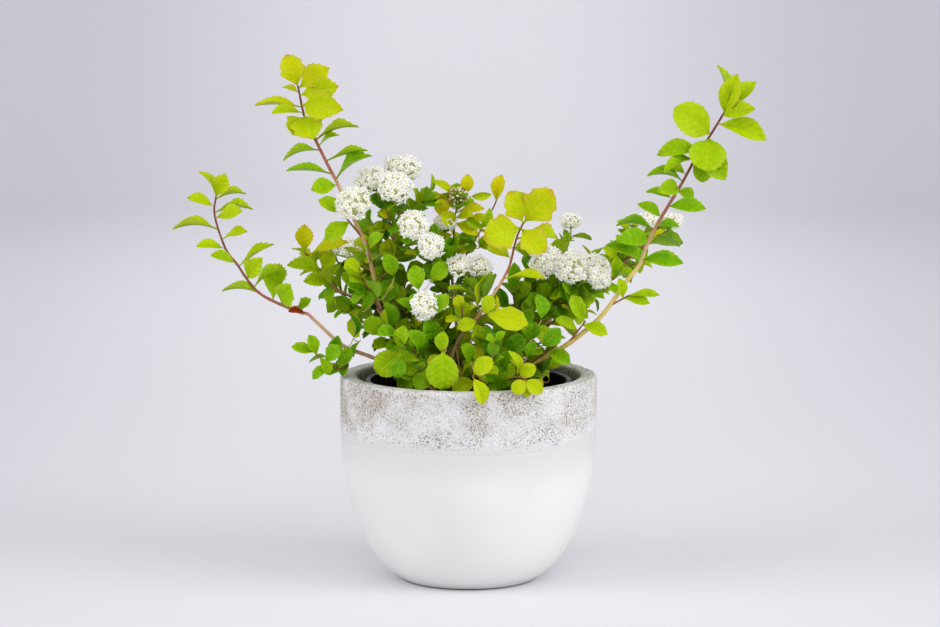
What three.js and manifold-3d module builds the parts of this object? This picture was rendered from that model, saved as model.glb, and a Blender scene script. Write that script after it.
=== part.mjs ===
// A golden-leaved spiraea growing in a black nursery pot, which stands in a stoneware cover pot.
// Units are millimetres and +Z is up. The origin is the centre of the cover pot's flat base.
// +X is to the right and -Y points at the viewer of the display side.
// The plant has its own group: its origin is the middle of the soil's surface, so it rises with the soil.

import * as THREE from "three";
import { mergeVertices } from "three/addons/utils/BufferGeometryUtils.js";
import Module from "manifold-3d";

const wasm = await Module();
wasm.setup();

// ---------------------------------------------------------------- driving dimensions

const CLEARANCE = 0.3; // between pieces that rest on or in each other

const POT_HEIGHT = 153;
const POT_RIM_RADIUS = 95.2;
const POT_BASE_RADIUS = 50;
const POT_BASE_EDGE = 2; // a slanted edge between the base and the bowl
const POT_SHOULDER_HEIGHT = 118; // where the bowl's curve becomes the upright band
const POT_RIM_WALL = 13;
const POT_WALL = 11;
const POT_FLOOR = 14;
const POT_LIP_EDGE = 2.5; // the slanted edges of the rim

const NURSERY_BASE_RADIUS = 50;
const NURSERY_LIP_RADIUS = 77;
const NURSERY_LIP_WIDTH = 3;
const NURSERY_LIP_DEPTH = 8;
const NURSERY_WALL = 1.4;
const NURSERY_BELOW_POT_RIM = 4;
const DRAIN_HOLES = 6;
const DRAIN_HOLE_RADIUS = 4.5;
const DRAIN_RING_RADIUS = 34;

const SOIL_BELOW_LIP = 9;
const SOIL_MOUND = 3;
const PLANTED_DEPTH = 24; // how far each stem reaches below the soil's surface

const LEAF_THICKNESS = 0.9;
const STEM_SIDES = 6;
const STEP_LENGTH = 14; // one ring of a stem's tube for each such length

// What follows from them
const NURSERY_FLOOR_Z = POT_FLOOR + CLEARANCE;
const NURSERY_LIP_Z = POT_HEIGHT - NURSERY_BELOW_POT_RIM;
const SOIL_Z = NURSERY_LIP_Z - SOIL_BELOW_LIP;
const OVER_RIM_Y = -POT_RIM_RADIUS; // the display side of the rim

// ---------------------------------------------------------------- materials

const finish = (color, roughness) => new THREE.MeshStandardMaterial({ color, roughness, metalness: 0 });
const GLAZE = finish(0xeeeeec, 0.45);
const BLACK_PLASTIC = finish(0x1c1b1a, 0.5);
const SOIL = finish(0x2e2019, 0.95);
const BARK = finish(0x9a6a45, 0.7);
const GREEN_LEAF = finish(0x5f9a12, 0.5);
const BRIGHT_LEAF = finish(0x98c21a, 0.5);
const GOLDEN_LEAF = finish(0xd2c81e, 0.5);
const RED_LEAF = finish(0x9c1c14, 0.5);
const PETAL = finish(0xf6f3e6, 0.7);
const BUD = finish(0xa9a05a, 0.7);

// ---------------------------------------------------------------- solids

// A closed geometry as a solid that can be joined and cut.
function solidOf(geometry) {
  const bare = geometry.index ? geometry.toNonIndexed() : geometry.clone();
  bare.deleteAttribute("normal");
  bare.deleteAttribute("uv");
  const merged = mergeVertices(bare, 1e-4);
  return new wasm.Manifold(
    new wasm.Mesh({
      numProp: 3,
      vertProperties: merged.attributes.position.array,
      triVerts: new Uint32Array(merged.index.array),
    }),
  );
}

// A solid as a geometry for a mesh.
function geometryOf(solid) {
  const mesh = solid.getMesh();
  const geometry = new THREE.BufferGeometry();
  geometry.setAttribute("position", new THREE.BufferAttribute(mesh.vertProperties, mesh.numProp));
  geometry.setIndex(new THREE.BufferAttribute(mesh.triVerts, 1));
  return geometry;
}

// Turns a profile of (radius, height) points, which starts and ends on the axis, about +Z.
function turned(profile, segments) {
  return new THREE.LatheGeometry(profile, segments).rotateX(Math.PI / 2);
}

const stepsAlong = (curve) => Math.max(2, Math.round(curve.getLength() / STEP_LENGTH));

// A closed tube that follows a curve and tapers from its first radius to its second.
function taperedTube(curve, firstRadius, lastRadius) {
  const steps = stepsAlong(curve);
  const frames = curve.computeFrenetFrames(steps, false);
  const tube = new THREE.CylinderGeometry(1, 1, 1, STEM_SIDES, steps);
  const place = tube.attributes.position;
  for (let i = 0; i < place.count; i++) {
    const along = THREE.MathUtils.clamp(place.getY(i) + 0.5, 0, 1);
    const step = Math.round(along * steps);
    const radius = THREE.MathUtils.lerp(firstRadius, lastRadius, along);
    const point = curve
      .getPointAt(along)
      .addScaledVector(frames.binormals[step], place.getX(i) * radius)
      .addScaledVector(frames.normals[step], place.getZ(i) * radius);
    place.setXYZ(i, point.x, point.y, point.z);
  }
  return tube;
}

// Half the width of a leaf at a share of its length: a narrow stalk end, widest past the middle.
const leafHalfWidth = (share) => 0.5 * Math.sin(Math.PI * Math.pow(share, 1.6));

// A leaf along +X with its faces towards +Y and -Y: a thin double cone with a six-sided outline.
function leafBlade(length, width) {
  const blade = new THREE.SphereGeometry(1, 6, 2);
  const place = blade.attributes.position;
  for (let i = 0; i < place.count; i++) {
    const share = (place.getX(i) + 1) / 2;
    const across = Math.sign(Math.round(place.getZ(i) * 100)) * leafHalfWidth(share) * width;
    place.setXYZ(i, share * length, (place.getY(i) * LEAF_THICKNESS) / 2, across);
  }
  return blade;
}

const radians = THREE.MathUtils.degToRad;
const TOWARDS_VIEWER = new THREE.Vector3(0, -1, 0);

// The unit vector at a bearing, anticlockwise from +X as the viewer sees it, that leans towards the viewer.
function heading(bearing, lean) {
  const flat = Math.cos(radians(lean));
  return new THREE.Vector3(
    flat * Math.cos(radians(bearing)),
    -Math.sin(radians(lean)),
    flat * Math.sin(radians(bearing)),
  );
}

// What is left of a vector once its share along a unit axis is taken away, as a unit vector.
function squareTo(axis, vector) {
  return vector.clone().addScaledVector(axis, -vector.dot(axis)).normalize();
}

// A leaf's solid from its stalk end, its direction and the way that its upper face looks.
function leafSolid(base, along, face, length, width) {
  const across = new THREE.Vector3().crossVectors(along, face);
  const frame = new THREE.Matrix4().makeBasis(along, face, across).setPosition(base);
  return solidOf(leafBlade(length, width).applyMatrix4(frame));
}

// ---------------------------------------------------------------- the pots and the soil

function coverPot() {
  const rimInside = POT_RIM_RADIUS - POT_RIM_WALL;
  const bowl = POT_SHOULDER_HEIGHT;
  const floorRadius = NURSERY_BASE_RADIUS + 2;
  const wall = new THREE.Path();
  wall.moveTo(0, 0);
  wall.lineTo(POT_BASE_RADIUS - POT_BASE_EDGE, 0);
  wall.lineTo(POT_BASE_RADIUS + POT_BASE_EDGE, POT_BASE_EDGE);
  wall.bezierCurveTo(
    POT_BASE_RADIUS + 0.55 * (POT_RIM_RADIUS - POT_BASE_RADIUS),
    0.12 * bowl,
    POT_RIM_RADIUS,
    0.47 * bowl,
    POT_RIM_RADIUS,
    bowl,
  );
  wall.lineTo(POT_RIM_RADIUS, POT_HEIGHT - POT_LIP_EDGE);
  wall.lineTo(POT_RIM_RADIUS - POT_LIP_EDGE, POT_HEIGHT);
  wall.lineTo(rimInside + POT_LIP_EDGE, POT_HEIGHT);
  wall.lineTo(rimInside, POT_HEIGHT - POT_LIP_EDGE);
  wall.lineTo(rimInside, 0.8 * bowl);
  wall.bezierCurveTo(
    rimInside,
    0.5 * bowl,
    POT_RIM_RADIUS - POT_WALL - 8,
    0.2 * bowl,
    floorRadius,
    POT_FLOOR,
  );
  wall.lineTo(0, POT_FLOOR);
  return turned(wall.getPoints(8), 44);
}

function nurseryPot() {
  const wallTop = NURSERY_LIP_RADIUS - NURSERY_LIP_WIDTH;
  const bore = wallTop - NURSERY_WALL;
  const profile = [
    [0, NURSERY_FLOOR_Z],
    [NURSERY_BASE_RADIUS, NURSERY_FLOOR_Z],
    [wallTop, NURSERY_LIP_Z - NURSERY_LIP_DEPTH],
    [NURSERY_LIP_RADIUS, NURSERY_LIP_Z - NURSERY_LIP_DEPTH],
    [NURSERY_LIP_RADIUS, NURSERY_LIP_Z],
    [bore, NURSERY_LIP_Z],
    [bore, NURSERY_LIP_Z - NURSERY_LIP_DEPTH],
    [NURSERY_BASE_RADIUS - NURSERY_WALL, NURSERY_FLOOR_Z + NURSERY_WALL],
    [0, NURSERY_FLOOR_Z + NURSERY_WALL],
  ];
  let pot = solidOf(turned(profile.map(([radius, z]) => new THREE.Vector2(radius, z)), 40));
  for (let hole = 0; hole < DRAIN_HOLES; hole++) {
    const turn = (hole * 2 * Math.PI) / DRAIN_HOLES;
    const drill = new THREE.CylinderGeometry(DRAIN_HOLE_RADIUS, DRAIN_HOLE_RADIUS, 4 * NURSERY_WALL, 10)
      .rotateX(Math.PI / 2)
      .translate(
        DRAIN_RING_RADIUS * Math.cos(turn),
        DRAIN_RING_RADIUS * Math.sin(turn),
        NURSERY_FLOOR_Z + NURSERY_WALL / 2,
      );
    pot = pot.subtract(solidOf(drill));
  }
  return pot;
}

// The soil fills the nursery pot up to a low mound. Each planted stem has its own socket in it.
function soil(plantedStems) {
  const gap = NURSERY_WALL + CLEARANCE;
  const foot = NURSERY_FLOOR_Z + gap;
  const edge = NURSERY_LIP_RADIUS - NURSERY_LIP_WIDTH - gap;
  const profile = [
    [0, foot],
    [NURSERY_BASE_RADIUS - gap, foot],
    [edge, NURSERY_LIP_Z - NURSERY_LIP_DEPTH],
    [edge, SOIL_Z - SOIL_MOUND],
    [0.75 * edge, SOIL_Z - 0.6 * SOIL_MOUND],
    [0.35 * edge, SOIL_Z],
    [0, SOIL_Z],
  ].filter(([, z], i, all) => i === 0 || z !== all[i - 1][1] || i === 1 || i === all.length - 1);
  let filling = solidOf(turned(profile.map(([radius, z]) => new THREE.Vector2(radius, z)), 32));
  for (const stem of plantedStems) {
    const socket = taperedTube(stem.curve, stem.radii[0] + CLEARANCE, stem.radii[1] + CLEARANCE);
    filling = filling.subtract(solidOf(socket.translate(0, 0, SOIL_Z)));
  }
  return filling;
}

// ---------------------------------------------------------------- the plant's stems

// Woody canes: two radii and the points that each passes through, from the soil up.
const CANES = {
  cane_left_low: [[2.1, 1.4], [-24, -8, 0], [-50, -9, 17], [-72, -10, 27], [-93, -12, 36], [-115, -12, 56]],
  cane_left_tall: [
    [2.2, 1.5], [-20, 4, 0], [-45, 2, 29], [-58, 1, 49], [-66, 0, 62], [-71, -1, 90], [-77, -2, 112],
    [-95, -4, 152],
  ],
  cane_left_small: [[1.6, 1.1], [-30, 18, 0], [-50, 22, 32], [-69, 24, 57], [-85, 22, 66], [-95, 20, 72]],
  cane_flower: [
    [1.8, 1], [-12, 15, 0], [-32, 13, 25], [-52, 11, 53], [-58, 13, 66], [-60, 14, 90], [-55, 10, 116],
    [-48, 3, 142],
  ],
  cane_middle: [[1.8, 1], [-2, 5, 0], [-8, 9, 40], [-12, 12, 80], [-11, 13, 112]],
  cane_gold: [
    [2, 1.2], [-8, -14, 0], [-13, -20, 20], [-8, -26, 41], [2, -30, 54], [9, -32, 63], [20, -34, 79],
    [24, -35, 86],
  ],
  cane_right: [
    [2.4, 1.7], [12, -6, 0], [30, -8, 12], [47, -10, 22], [72, -12, 36], [97, -14, 57], [115, -14, 82],
    [123, -13, 92],
  ],
  cane_right_inner: [[1.8, 1], [10, 8, 0], [25, 16, 34], [37, 20, 55], [57, 18, 65], [76, 12, 80]],
  cane_back_left: [[1.7, 1], [-13, 30, 0], [-40, 40, 40], [-70, 52, 70], [-94, 58, 90]],
  cane_back_right: [
    [1.9, 1], [8, 24, 0], [43, 32, 34], [85, 48, 66], [118, 56, 90], [140, 60, 110],
  ],
};

// Shoots of this year at a cane's end: the cane, two radii, the points past the cane's end, and the leaves.
// A leaf is [share of the shoot's length, bearing, lean, length, width, roll]. Roll 0 faces the viewer.
const LEADERS = {
  shoot_left_low: {
    cane: "cane_left_low",
    radii: [1.3, 0.7],
    points: [[-126, -12, 61], [-150, -12, 72], [-161, -10, 82], [-170, -8, 95], [-179, -6, 107],
      [-187, -2, 131], [-186, 0, 145]],
    leaves: [
      [1, 124, 10, 23, 11, 62], [1, 70, 19, 19, 14, 10], [0.98, 16, -28, 27, 12, 62],
      [0.94, 150, 38, 24, 13, 42], [0.9, 8, 19, 31, 12, 72], [0.85, 14, 48, 34, 14, 38],
      [0.8, 176, -19, 36, 13, 76], [0.74, 24, 28, 24, 12, 48], [0.68, 170, 38, 25, 13, 40],
      [0.57, 157, 38, 23, 12, 46], [0.55, 40, -38, 37, 13, 52], [0.46, 54, 28, 24, 15, 20],
      [0.4, 50, -10, 30, 13, 42], [0.36, 172, -19, 33, 12, 72], [0.26, 82, -28, 30, 19, 18],
      [0.2, 66, 38, 23, 20, 28], [0.12, 35, 19, 16, 11, 50],
    ],
  },
  shoot_left_tall: {
    cane: "cane_left_tall",
    radii: [1.4, 0.8],
    points: [[-102, -5, 166], [-114, -7, 191], [-120, -7, 204], [-125, -5, 227]],
    leaves: [
      [0.98, 104, 10, 23, 18, 8], [0.97, 36, 10, 25, 16, 14], [0.91, 18, 38, 32, 18, 14],
      [0.82, 8, 48, 38, 19, 14], [0.93, 165, -38, 17, 8, 58], [0.8, 172, -10, 36, 13, 58],
      [0.75, 183, 50, 32, 14, 42], [0.73, 285, 50, 24, 20, 12], [0.72, 240, 50, 21, 16, 12],
      [0.48, 27, -38, 41, 12, 74], [0.42, 38, 28, 24, 12, 56], [0.38, 186, -28, 34, 12, 58],
      [0.27, 26, 10, 31, 12, 58], [0.14, 168, 28, 39, 12, 66], [0.08, 40, 19, 37, 15, 48],
      [0.03, 188, 19, 21, 14, 28],
    ],
  },
  shoot_left_small: {
    cane: "cane_left_small",
    radii: [1, 0.7],
    points: [[-106, 20, 83], [-115, 18, 93], [-122, 16, 102]],
    leaves: [
      [1, 90, 10, 22, 14, 5], [0.9, 21, 28, 38, 12, 48], [0.75, 30, -28, 31, 12, 55],
      [0.5, 60, 19, 19, 14, 20], [0.45, 163, 19, 30, 14, 42], [0.3, 176, 38, 24, 12, 30],
      [0.15, 250, 38, 16, 9, 30],
    ],
  },
  shoot_middle: {
    cane: "cane_middle",
    radii: [0.9, 0.6],
    points: [[-10, 12, 128], [-9, 11, 134]],
    leaves: [
      [0.95, 138, -10, 19, 8, 34], [0.95, 78, -48, 24, 12, 5], [0.9, 8, 10, 22, 9, 44],
      [0.7, 16, 48, 22, 9, 48], [0.55, 335, 28, 22, 12, 30], [0.5, 136, 38, 19, 12, 14],
      [0.2, 205, 10, 18, 13, 30],
    ],
  },
  shoot_gold: {
    cane: "cane_gold",
    material: GOLDEN_LEAF,
    radii: [1.1, 0.7],
    points: [[30, -35, 96], [35, -34, 115], [40, -33, 125]],
    leaves: [
      [1, 126, 19, 29, 22, 14], [1, 58, 19, 30, 25, 8], [0.8, 190, 28, 31, 26, 8],
      [0.78, 318, 28, 28, 21, 10], [0.72, 355, -38, 39, 13, 44], [0.4, 150, -38, 24, 14, 30],
      [0.06, 2, 19, 33, 11, 66],
    ],
  },
  shoot_right: {
    cane: "cane_right",
    radii: [1.6, 0.9],
    points: [[128, -12, 102], [135, -12, 119], [147, -12, 140], [155, -11, 153], [168, -10, 177],
      [176, -9, 189], [187, -8, 207]],
    leaves: [
      [1, 99, 0, 33, 12, 52], [1, 74, 19, 32, 16, 14], [1, 42, -10, 28, 14, 28], [0.98, 15, 38, 30, 14, 34],
      [0.93, 342, 10, 38, 16, 24], [0.86, 143, 10, 34, 25, 14], [0.8, 262, 48, 42, 29, 4],
      [0.72, 288, 10, 24, 14, 20], [0.74, 312, 19, 30, 18, 14], [0.76, 187, 0, 32, 14, 30],
      [0.7, 198, 38, 32, 11, 58], [0.6, 160, -48, 24, 10, 44], [0.56, 170, 19, 29, 10, 68],
      [0.52, 182, 48, 26, 13, 24], [0.45, 168, -28, 22, 9, 48], [0.33, 150, 19, 22, 10, 38],
      [0.5, 340, -19, 14, 10, 20], [0.4, 358, 19, 29, 12, 30], [0.25, 176, -19, 29, 9, 62],
      [0.19, 176, 38, 32, 15, 28], [0.27, 5, 48, 24, 8, 56], [0.05, 163, 19, 39, 16, 34],
      [0.07, 357, 19, 32, 13, 30],
    ],
  },
};

// Side shoots: the stem that each grows from and where, the points that it reaches, and its leaves,
// which are listed as above or are a number of leaves spread round the shoot.
const SIDE_SHOOTS = {
  side_shoot_trailing: {
    stem: "cane_left_low", at: 0.72, points: [[-98, -20, 22], [-112, -24, 30], [-126, -24, 40]],
    leaves: [
      [0.15, 250, 20, 12, 8, 30], [0.3, 200, 10, 14, 8, 40], [0.45, 60, 0, 15, 9, 20],
      [0.6, 215, 10, 15, 8, 40], [0.72, 50, 20, 16, 11, 20], [0.85, 300, 10, 13, 8, 30],
      [1, 165, 5, 14, 8, 40],
    ],
  },
  side_shoot_tall_upper: {
    stem: "cane_left_tall", at: 0.8, points: [[-96, -12, 138]],
    leaves: [[0.5, 215, 10, 22, 14, 20], [0.8, 150, 5, 20, 12, 30], [0.9, 20, 20, 22, 12, 30]],
  },
  side_shoot_tall_lower: {
    stem: "cane_left_tall", at: 0.5, points: [[-78, -14, 86], [-80, -22, 94]], leaves: 9,
  },
  side_shoot_flower_low: {
    stem: "cane_flower", at: 0.5, points: [[-72, 22, 84], [-80, 24, 96]], leaves: 9,
  },
  side_shoot_flower_high: {
    stem: "cane_flower", at: 0.86, points: [[-38, 10, 136], [-30, 8, 144]], leaves: 9,
  },
  side_shoot_middle_left: {
    stem: "cane_middle", at: 0.62, points: [[-24, -2, 92], [-32, -8, 102]], leaves: 10,
  },
  side_shoot_middle_right: {
    stem: "cane_middle", at: 0.8, points: [[8, 18, 116], [18, 18, 134], [21, 18, 141]],
    leaves: [
      [1, 78, 5, 20, 11, 20], [0.8, 200, 10, 16, 9, 40], [0.6, 350, 10, 20, 11, 30],
      [0.35, 190, 15, 22, 13, 20], [0.2, 340, -10, 22, 13, 20],
    ],
  },
  side_shoot_gold_left: {
    stem: "cane_gold", at: 0.42, points: [[-22, -34, 54], [-32, -36, 64]], leaves: 10,
  },
  side_shoot_gold_right: {
    stem: "cane_gold", at: 0.62, points: [[8, -42, 60], [14, -46, 64]],
    leaves: [
      [1, 347, 10, 31, 18, 22], [0.6, 200, 20, 16, 11, 20], [0.5, 290, 10, 18, 13, 10],
      [0.9, 70, 0, 16, 11, 20],
    ],
  },
  side_shoot_inner_up: {
    stem: "cane_right_inner", at: 0.6, points: [[48, 30, 84], [44, 32, 98]], leaves: 10,
  },
  side_shoot_inner_out: {
    stem: "cane_right_inner", at: 0.8, points: [[78, 4, 66], [92, 0, 76]], leaves: 9,
  },
  side_shoot_right_low: {
    stem: "cane_right", at: 0.38, points: [[66, -18, 38]],
    leaves: [[0.9, 137, 10, 21, 13, 20], [0.6, 335, 20, 20, 12, 30], [0.5, 170, 5, 14, 9, 40]],
  },
  side_shoot_right_middle: {
    stem: "cane_right", at: 0.58, points: [[86, -19, 55]],
    leaves: [[0.9, 114, 5, 23, 12, 14], [0.8, 340, 15, 20, 11, 28], [0.5, 150, 15, 20, 10, 40]],
  },
  side_shoot_right_upper: {
    stem: "cane_right", at: 0.82, points: [[118, -19, 74]],
    leaves: [[0.9, 2, 5, 24, 9, 56], [0.7, 350, 20, 20, 9, 40], [0.6, 100, 10, 16, 9, 30]],
  },
  side_shoot_back_left: {
    stem: "cane_back_left", at: 0.7, points: [[-70, 66, 84], [-72, 76, 96]], leaves: 10,
  },
  side_shoot_back_middle: {
    stem: "cane_back_right", at: 0.45, points: [[62, 58, 78], [74, 72, 104]], leaves: 11,
  },
  side_shoot_back_right: {
    stem: "cane_back_right", at: 0.75, points: [[120, 72, 92], [134, 76, 104]], leaves: 11,
  },
};

// Low shoots that come straight out of the soil towards the viewer. The last three hang over the rim.
const BASAL_SHOOTS = {
  basal_shoot_left: {
    points: [[-33, -22, 0], [-45, -36, 24], [-50, -46, 39]],
    leaves: [
      [0.95, 222, 5, 24, 20, 8], [1, 298, 5, 22, 16, 14], [0.7, 262, 20, 20, 13, 10],
      [0.45, 250, 30, 14, 10, 10], [0.98, 80, 5, 18, 12, 20],
    ],
  },
  basal_shoot_front_left: {
    points: [[-18, -32, 0], [-25, -52, 22], [-18, -72, 41]],
    leaves: [
      [1, 268, 8, 28, 24, 0], [0.95, 84, 10, 17, 11, 20], [0.8, 250, 10, 18, 11, 14],
      [0.6, 200, 20, 18, 13, 20], [0.4, 300, 25, 16, 12, 20],
    ],
  },
  basal_shoot_front_middle: {
    points: [[3, -28, 0], [5, -52, 16], [5, OVER_RIM_Y + 15, 27], [3, OVER_RIM_Y - 2, 25]],
    leaves: [
      [0.95, 42, 5, 18, 13, 18], [1, 290, 8, 21, 12, 24], [0.6, 20, 10, 18, 13, 20],
      [0.5, 200, 5, 18, 13, 20],
    ],
  },
  basal_shoot_front_right: {
    points: [[18, -26, 0], [27, -46, 14], [36, OVER_RIM_Y + 20, 22], [41, OVER_RIM_Y + 4, 22]],
    leaves: [
      [1, 225, 15, 13, 11, 8], [1, 325, 15, 15, 11, 10], [0.97, 280, 20, 13, 9, 10],
      [0.8, 108, 10, 21, 9, 48], [0.85, 35, 5, 14, 11, 20], [0.5, 190, 10, 18, 12, 20],
      [0.4, 60, 5, 20, 13, 20],
    ],
  },
};

// Flower heads: the stem and where the stalk leaves it, the dome's middle, its radius and the way it looks.
const FLOWER_HEADS = {
  flower_head_top_back: ["cane_flower", 0.98, [-49, 12, 164], 13, [0.1, 0.1, 1]],
  flower_head_top_front: ["cane_flower", 0.94, [-54, -14, 154], 13, [0, -0.6, 0.8]],
  flower_head_top_left: ["cane_flower", 0.9, [-72, 4, 157], 11, [-0.4, 0, 0.9]],
  flower_head_left_front: ["cane_flower", 0.8, [-84, -17, 142], 14, [-0.4, -0.6, 0.6]],
  flower_head_centre: ["cane_middle", 0.9, [-40, -26, 126], 12, [-0.1, -0.85, 0.4]],
  flower_head_centre_low: ["cane_middle", 0.8, [-27, -33, 109], 10, [0.1, -0.85, 0.3]],
  flower_head_centre_back: ["cane_middle", 0.95, [-17, 22, 123], 8, [0, 0.3, 0.9]],
  flower_head_middle_left: ["cane_gold", 0.78, [-7, -24, 97], 9, [-0.3, -0.5, 0.7]],
  flower_head_middle_right: ["cane_gold", 0.84, [9, -18, 97], 9, [0.1, -0.3, 0.9]],
  flower_head_front: ["cane_gold", 0.5, [-32, -46, 70], 10.5, [-0.1, -0.9, 0.2]],
  flower_head_right_inner: ["cane_right_inner", 0.8, [56, 4, 94], 11.5, [-0.5, -0.3, 0.8]],
  flower_head_right_middle: ["cane_right_inner", 0.95, [75, -10, 92], 12, [0, -0.7, 0.7]],
  flower_head_right_outer: ["cane_right_inner", 0.9, [95, 2, 88], 11.5, [0.7, -0.2, 0.6]],
  flower_head_back_middle: ["side_shoot_back_middle", 0.95, [78, 77, 119], 8, [0, 0, 1]],
  flower_head_back_right_a: ["cane_back_right", 0.92, [136, 60, 121], 8, [-0.1, 0, 1]],
  flower_head_back_right_b: ["cane_back_right", 0.97, [155, 64, 121], 8, [0.3, 0.1, 0.9]],
  flower_head_back_left_a: ["cane_back_left", 0.97, [-103, 57, 100], 8, [-0.3, 0, 0.9]],
  flower_head_back_left_b: ["cane_back_left", 0.9, [-86, 50, 99], 9, [0.1, -0.2, 0.9]],
};
// One old leaf on the low left shoot has turned red.
const OLD_LEAF = { stem: "shoot_left_low", at: 0.05, bearing: 168, lean: 40, length: 17, width: 9, roll: 62 };
const BUD_HEAD = ["shoot_middle", 0.9, [-8, 8, 145], 7.5, [0, -0.3, 1]];

const SIDE_SHOOT_RADII = [0.9, 0.6];
const STALK_RADII = [0.7, 0.6];
const LEADER_SET_OUT = 5; // how far a leader keeps to its cane's line
const CANE_LEAN_IN = 0.85; // a planted end stands a little nearer to the middle than the stem at the surface

const vector = ([x, y, z]) => new THREE.Vector3(x, y, z);
const smooth = (points) => new THREE.CatmullRomCurve3(points, false, "catmullrom");

// Stems by name, each with its curve, its two radii and its solid.
const stems = new Map();

function addStem(name, curve, radii) {
  const stem = { name, curve, radii, solid: solidOf(taperedTube(curve, ...radii)) };
  stems.set(name, stem);
  return stem;
}

// A stem that stands in the soil: its end below the surface follows from its point at the surface.
function addPlantedStem(name, radii, points) {
  const [x, y] = points[0];
  const planted = new THREE.Vector3(CANE_LEAN_IN * x, CANE_LEAN_IN * y, -PLANTED_DEPTH);
  return addStem(name, smooth([planted, ...points.map(vector)]), radii);
}

const radiusAt = (stem, share) => THREE.MathUtils.lerp(...stem.radii, share);

// The middle of a stem's tube at a share of its length: the tube runs straight from ring to ring.
function middleAt(stem, share) {
  const steps = stepsAlong(stem.curve);
  const ring = Math.min(Math.floor(share * steps), steps - 1);
  const before = stem.curve.getPointAt(ring / steps);
  return before.lerp(stem.curve.getPointAt((ring + 1) / steps), share * steps - ring);
}

// Where a branch of some radius starts beside its parent stem, on the side that it grows towards.
// Its end lies close to the parent's side, so the more it grows straight out, the nearer its middle is.
function branchStart(parent, share, towards, radius) {
  const middle = middleAt(parent, share);
  const outwards = towards.clone().sub(middle).normalize();
  const side = squareTo(parent.curve.getTangentAt(share), outwards);
  const reach = radius * Math.sqrt(1 - Math.min(1, outwards.dot(side) ** 2));
  return middle.addScaledVector(side, radiusAt(parent, share) + reach + CLEARANCE);
}

function addBranch(name, parentName, share, radii, points) {
  const places = points.map(vector);
  const start = branchStart(stems.get(parentName), share, places[0], radii[0]);
  return addStem(name, smooth([start, ...places]), radii);
}

// A leader goes on from its cane's end, and sets out in the same line.
function addLeader(name, { cane, radii, points }) {
  const { curve } = stems.get(cane);
  const past = (distance) => curve.getPointAt(1).addScaledVector(curve.getTangentAt(1), distance);
  return addStem(name, smooth([past(CLEARANCE), past(LEADER_SET_OUT), ...points.map(vector)]), radii);
}

for (const [name, [radii, ...points]] of Object.entries(CANES)) addPlantedStem(name, radii, points);
for (const [name, leader] of Object.entries(LEADERS)) addLeader(name, leader);
for (const [name, shoot] of Object.entries(SIDE_SHOOTS))
  addBranch(name, shoot.stem, shoot.at, SIDE_SHOOT_RADII, shoot.points);
for (const [name, shoot] of Object.entries(BASAL_SHOOTS))
  addPlantedStem(name, [1.1, SIDE_SHOOT_RADII[1]], shoot.points);

// ---------------------------------------------------------------- flower heads

// A corymb: a funnel of flower stalks under a low dome, on one stalk from its stem.
function flowerHead([stemName, share, middle, radius, facing]) {
  const parent = stems.get(stemName);
  const up = vector(facing).normalize();
  const centre = vector(middle);
  const profile = [[0, -0.95], [0.5, -0.42], [1, 0], [0.8, 0.38], [0.42, 0.57], [0, 0.63]];
  const dome = turned(profile.map(([r, h]) => new THREE.Vector2(r * radius, h * radius)), 9);
  const turn = new THREE.Quaternion().setFromUnitVectors(new THREE.Vector3(0, 0, 1), up);
  dome.applyQuaternion(turn).translate(...centre);

  const neck = centre.clone().addScaledVector(up, -0.7 * radius);
  const before = neck.clone().addScaledVector(up, -0.6 * radius);
  const start = branchStart(parent, share, before, STALK_RADII[0]);
  const stalk = taperedTube(new THREE.QuadraticBezierCurve3(start, before, neck), ...STALK_RADII);
  return solidOf(dome).add(solidOf(stalk));
}

// ---------------------------------------------------------------- leaves

const GOLDEN_ANGLE = 137.5;
const LEAF_RISE = 55; // degrees between a spread leaf and its shoot

// Leaves spread round a shoot, one after another, that grow smaller towards its end.
function spreadLeaves(stem, count) {
  return Array.from({ length: count }, (_, i) => {
    const share = 0.2 + (0.8 * (i + 0.5)) / count;
    const tangent = stem.curve.getTangentAt(share);
    const side = squareTo(tangent, new THREE.Vector3(0.3, -1, 0.2)).applyAxisAngle(
      tangent,
      radians(i * GOLDEN_ANGLE),
    );
    const along = tangent
      .clone()
      .multiplyScalar(Math.cos(radians(LEAF_RISE)))
      .addScaledVector(side, Math.sin(radians(LEAF_RISE)));
    const length = 25 - 7 * share + 3 * Math.cos(i * 2.1);
    return { share, along, face: squareTo(along, tangent), length, width: 0.66 * length };
  });
}

// A leaf's direction and the way that its upper face looks.
function pose(bearing, lean, roll) {
  const along = heading(bearing, lean);
  return { along, face: squareTo(along, TOWARDS_VIEWER).applyAxisAngle(along, radians(roll)) };
}

function listedLeaves(leaves) {
  return leaves.map(([share, bearing, lean, length, width, roll]) => {
    return { share, ...pose(bearing, lean, roll), length, width };
  });
}

// Solids that are in a leaf's way, each with its bounding box.
const inTheWay = [];

function addObstacle(name, solid) {
  const { min, max } = solid.boundingBox();
  inTheWay.push({ name, solid, box: new THREE.Box3(vector(min), vector(max)) });
}

function isFree(name, solid) {
  const { min, max } = solid.boundingBox();
  const box = new THREE.Box3(vector(min), vector(max));
  return inTheWay.every(
    (other) => other.name === name || !other.box.intersectsBox(box) || solid.intersect(other.solid).isEmpty(),
  );
}

// How a leaf gives way to its neighbours: it turns and rolls first, and then stays small.
const TURNS = [0, 12, -12, 25, -25, 40, -40, 60, -60];
const SHARES_OF_SIZE = [1, 0.8, 0.6, 0.4, 0.25];
const LEAF_BEFORE_TIP = 1.5; // an end leaf starts this far inside its shoot's tip

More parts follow.
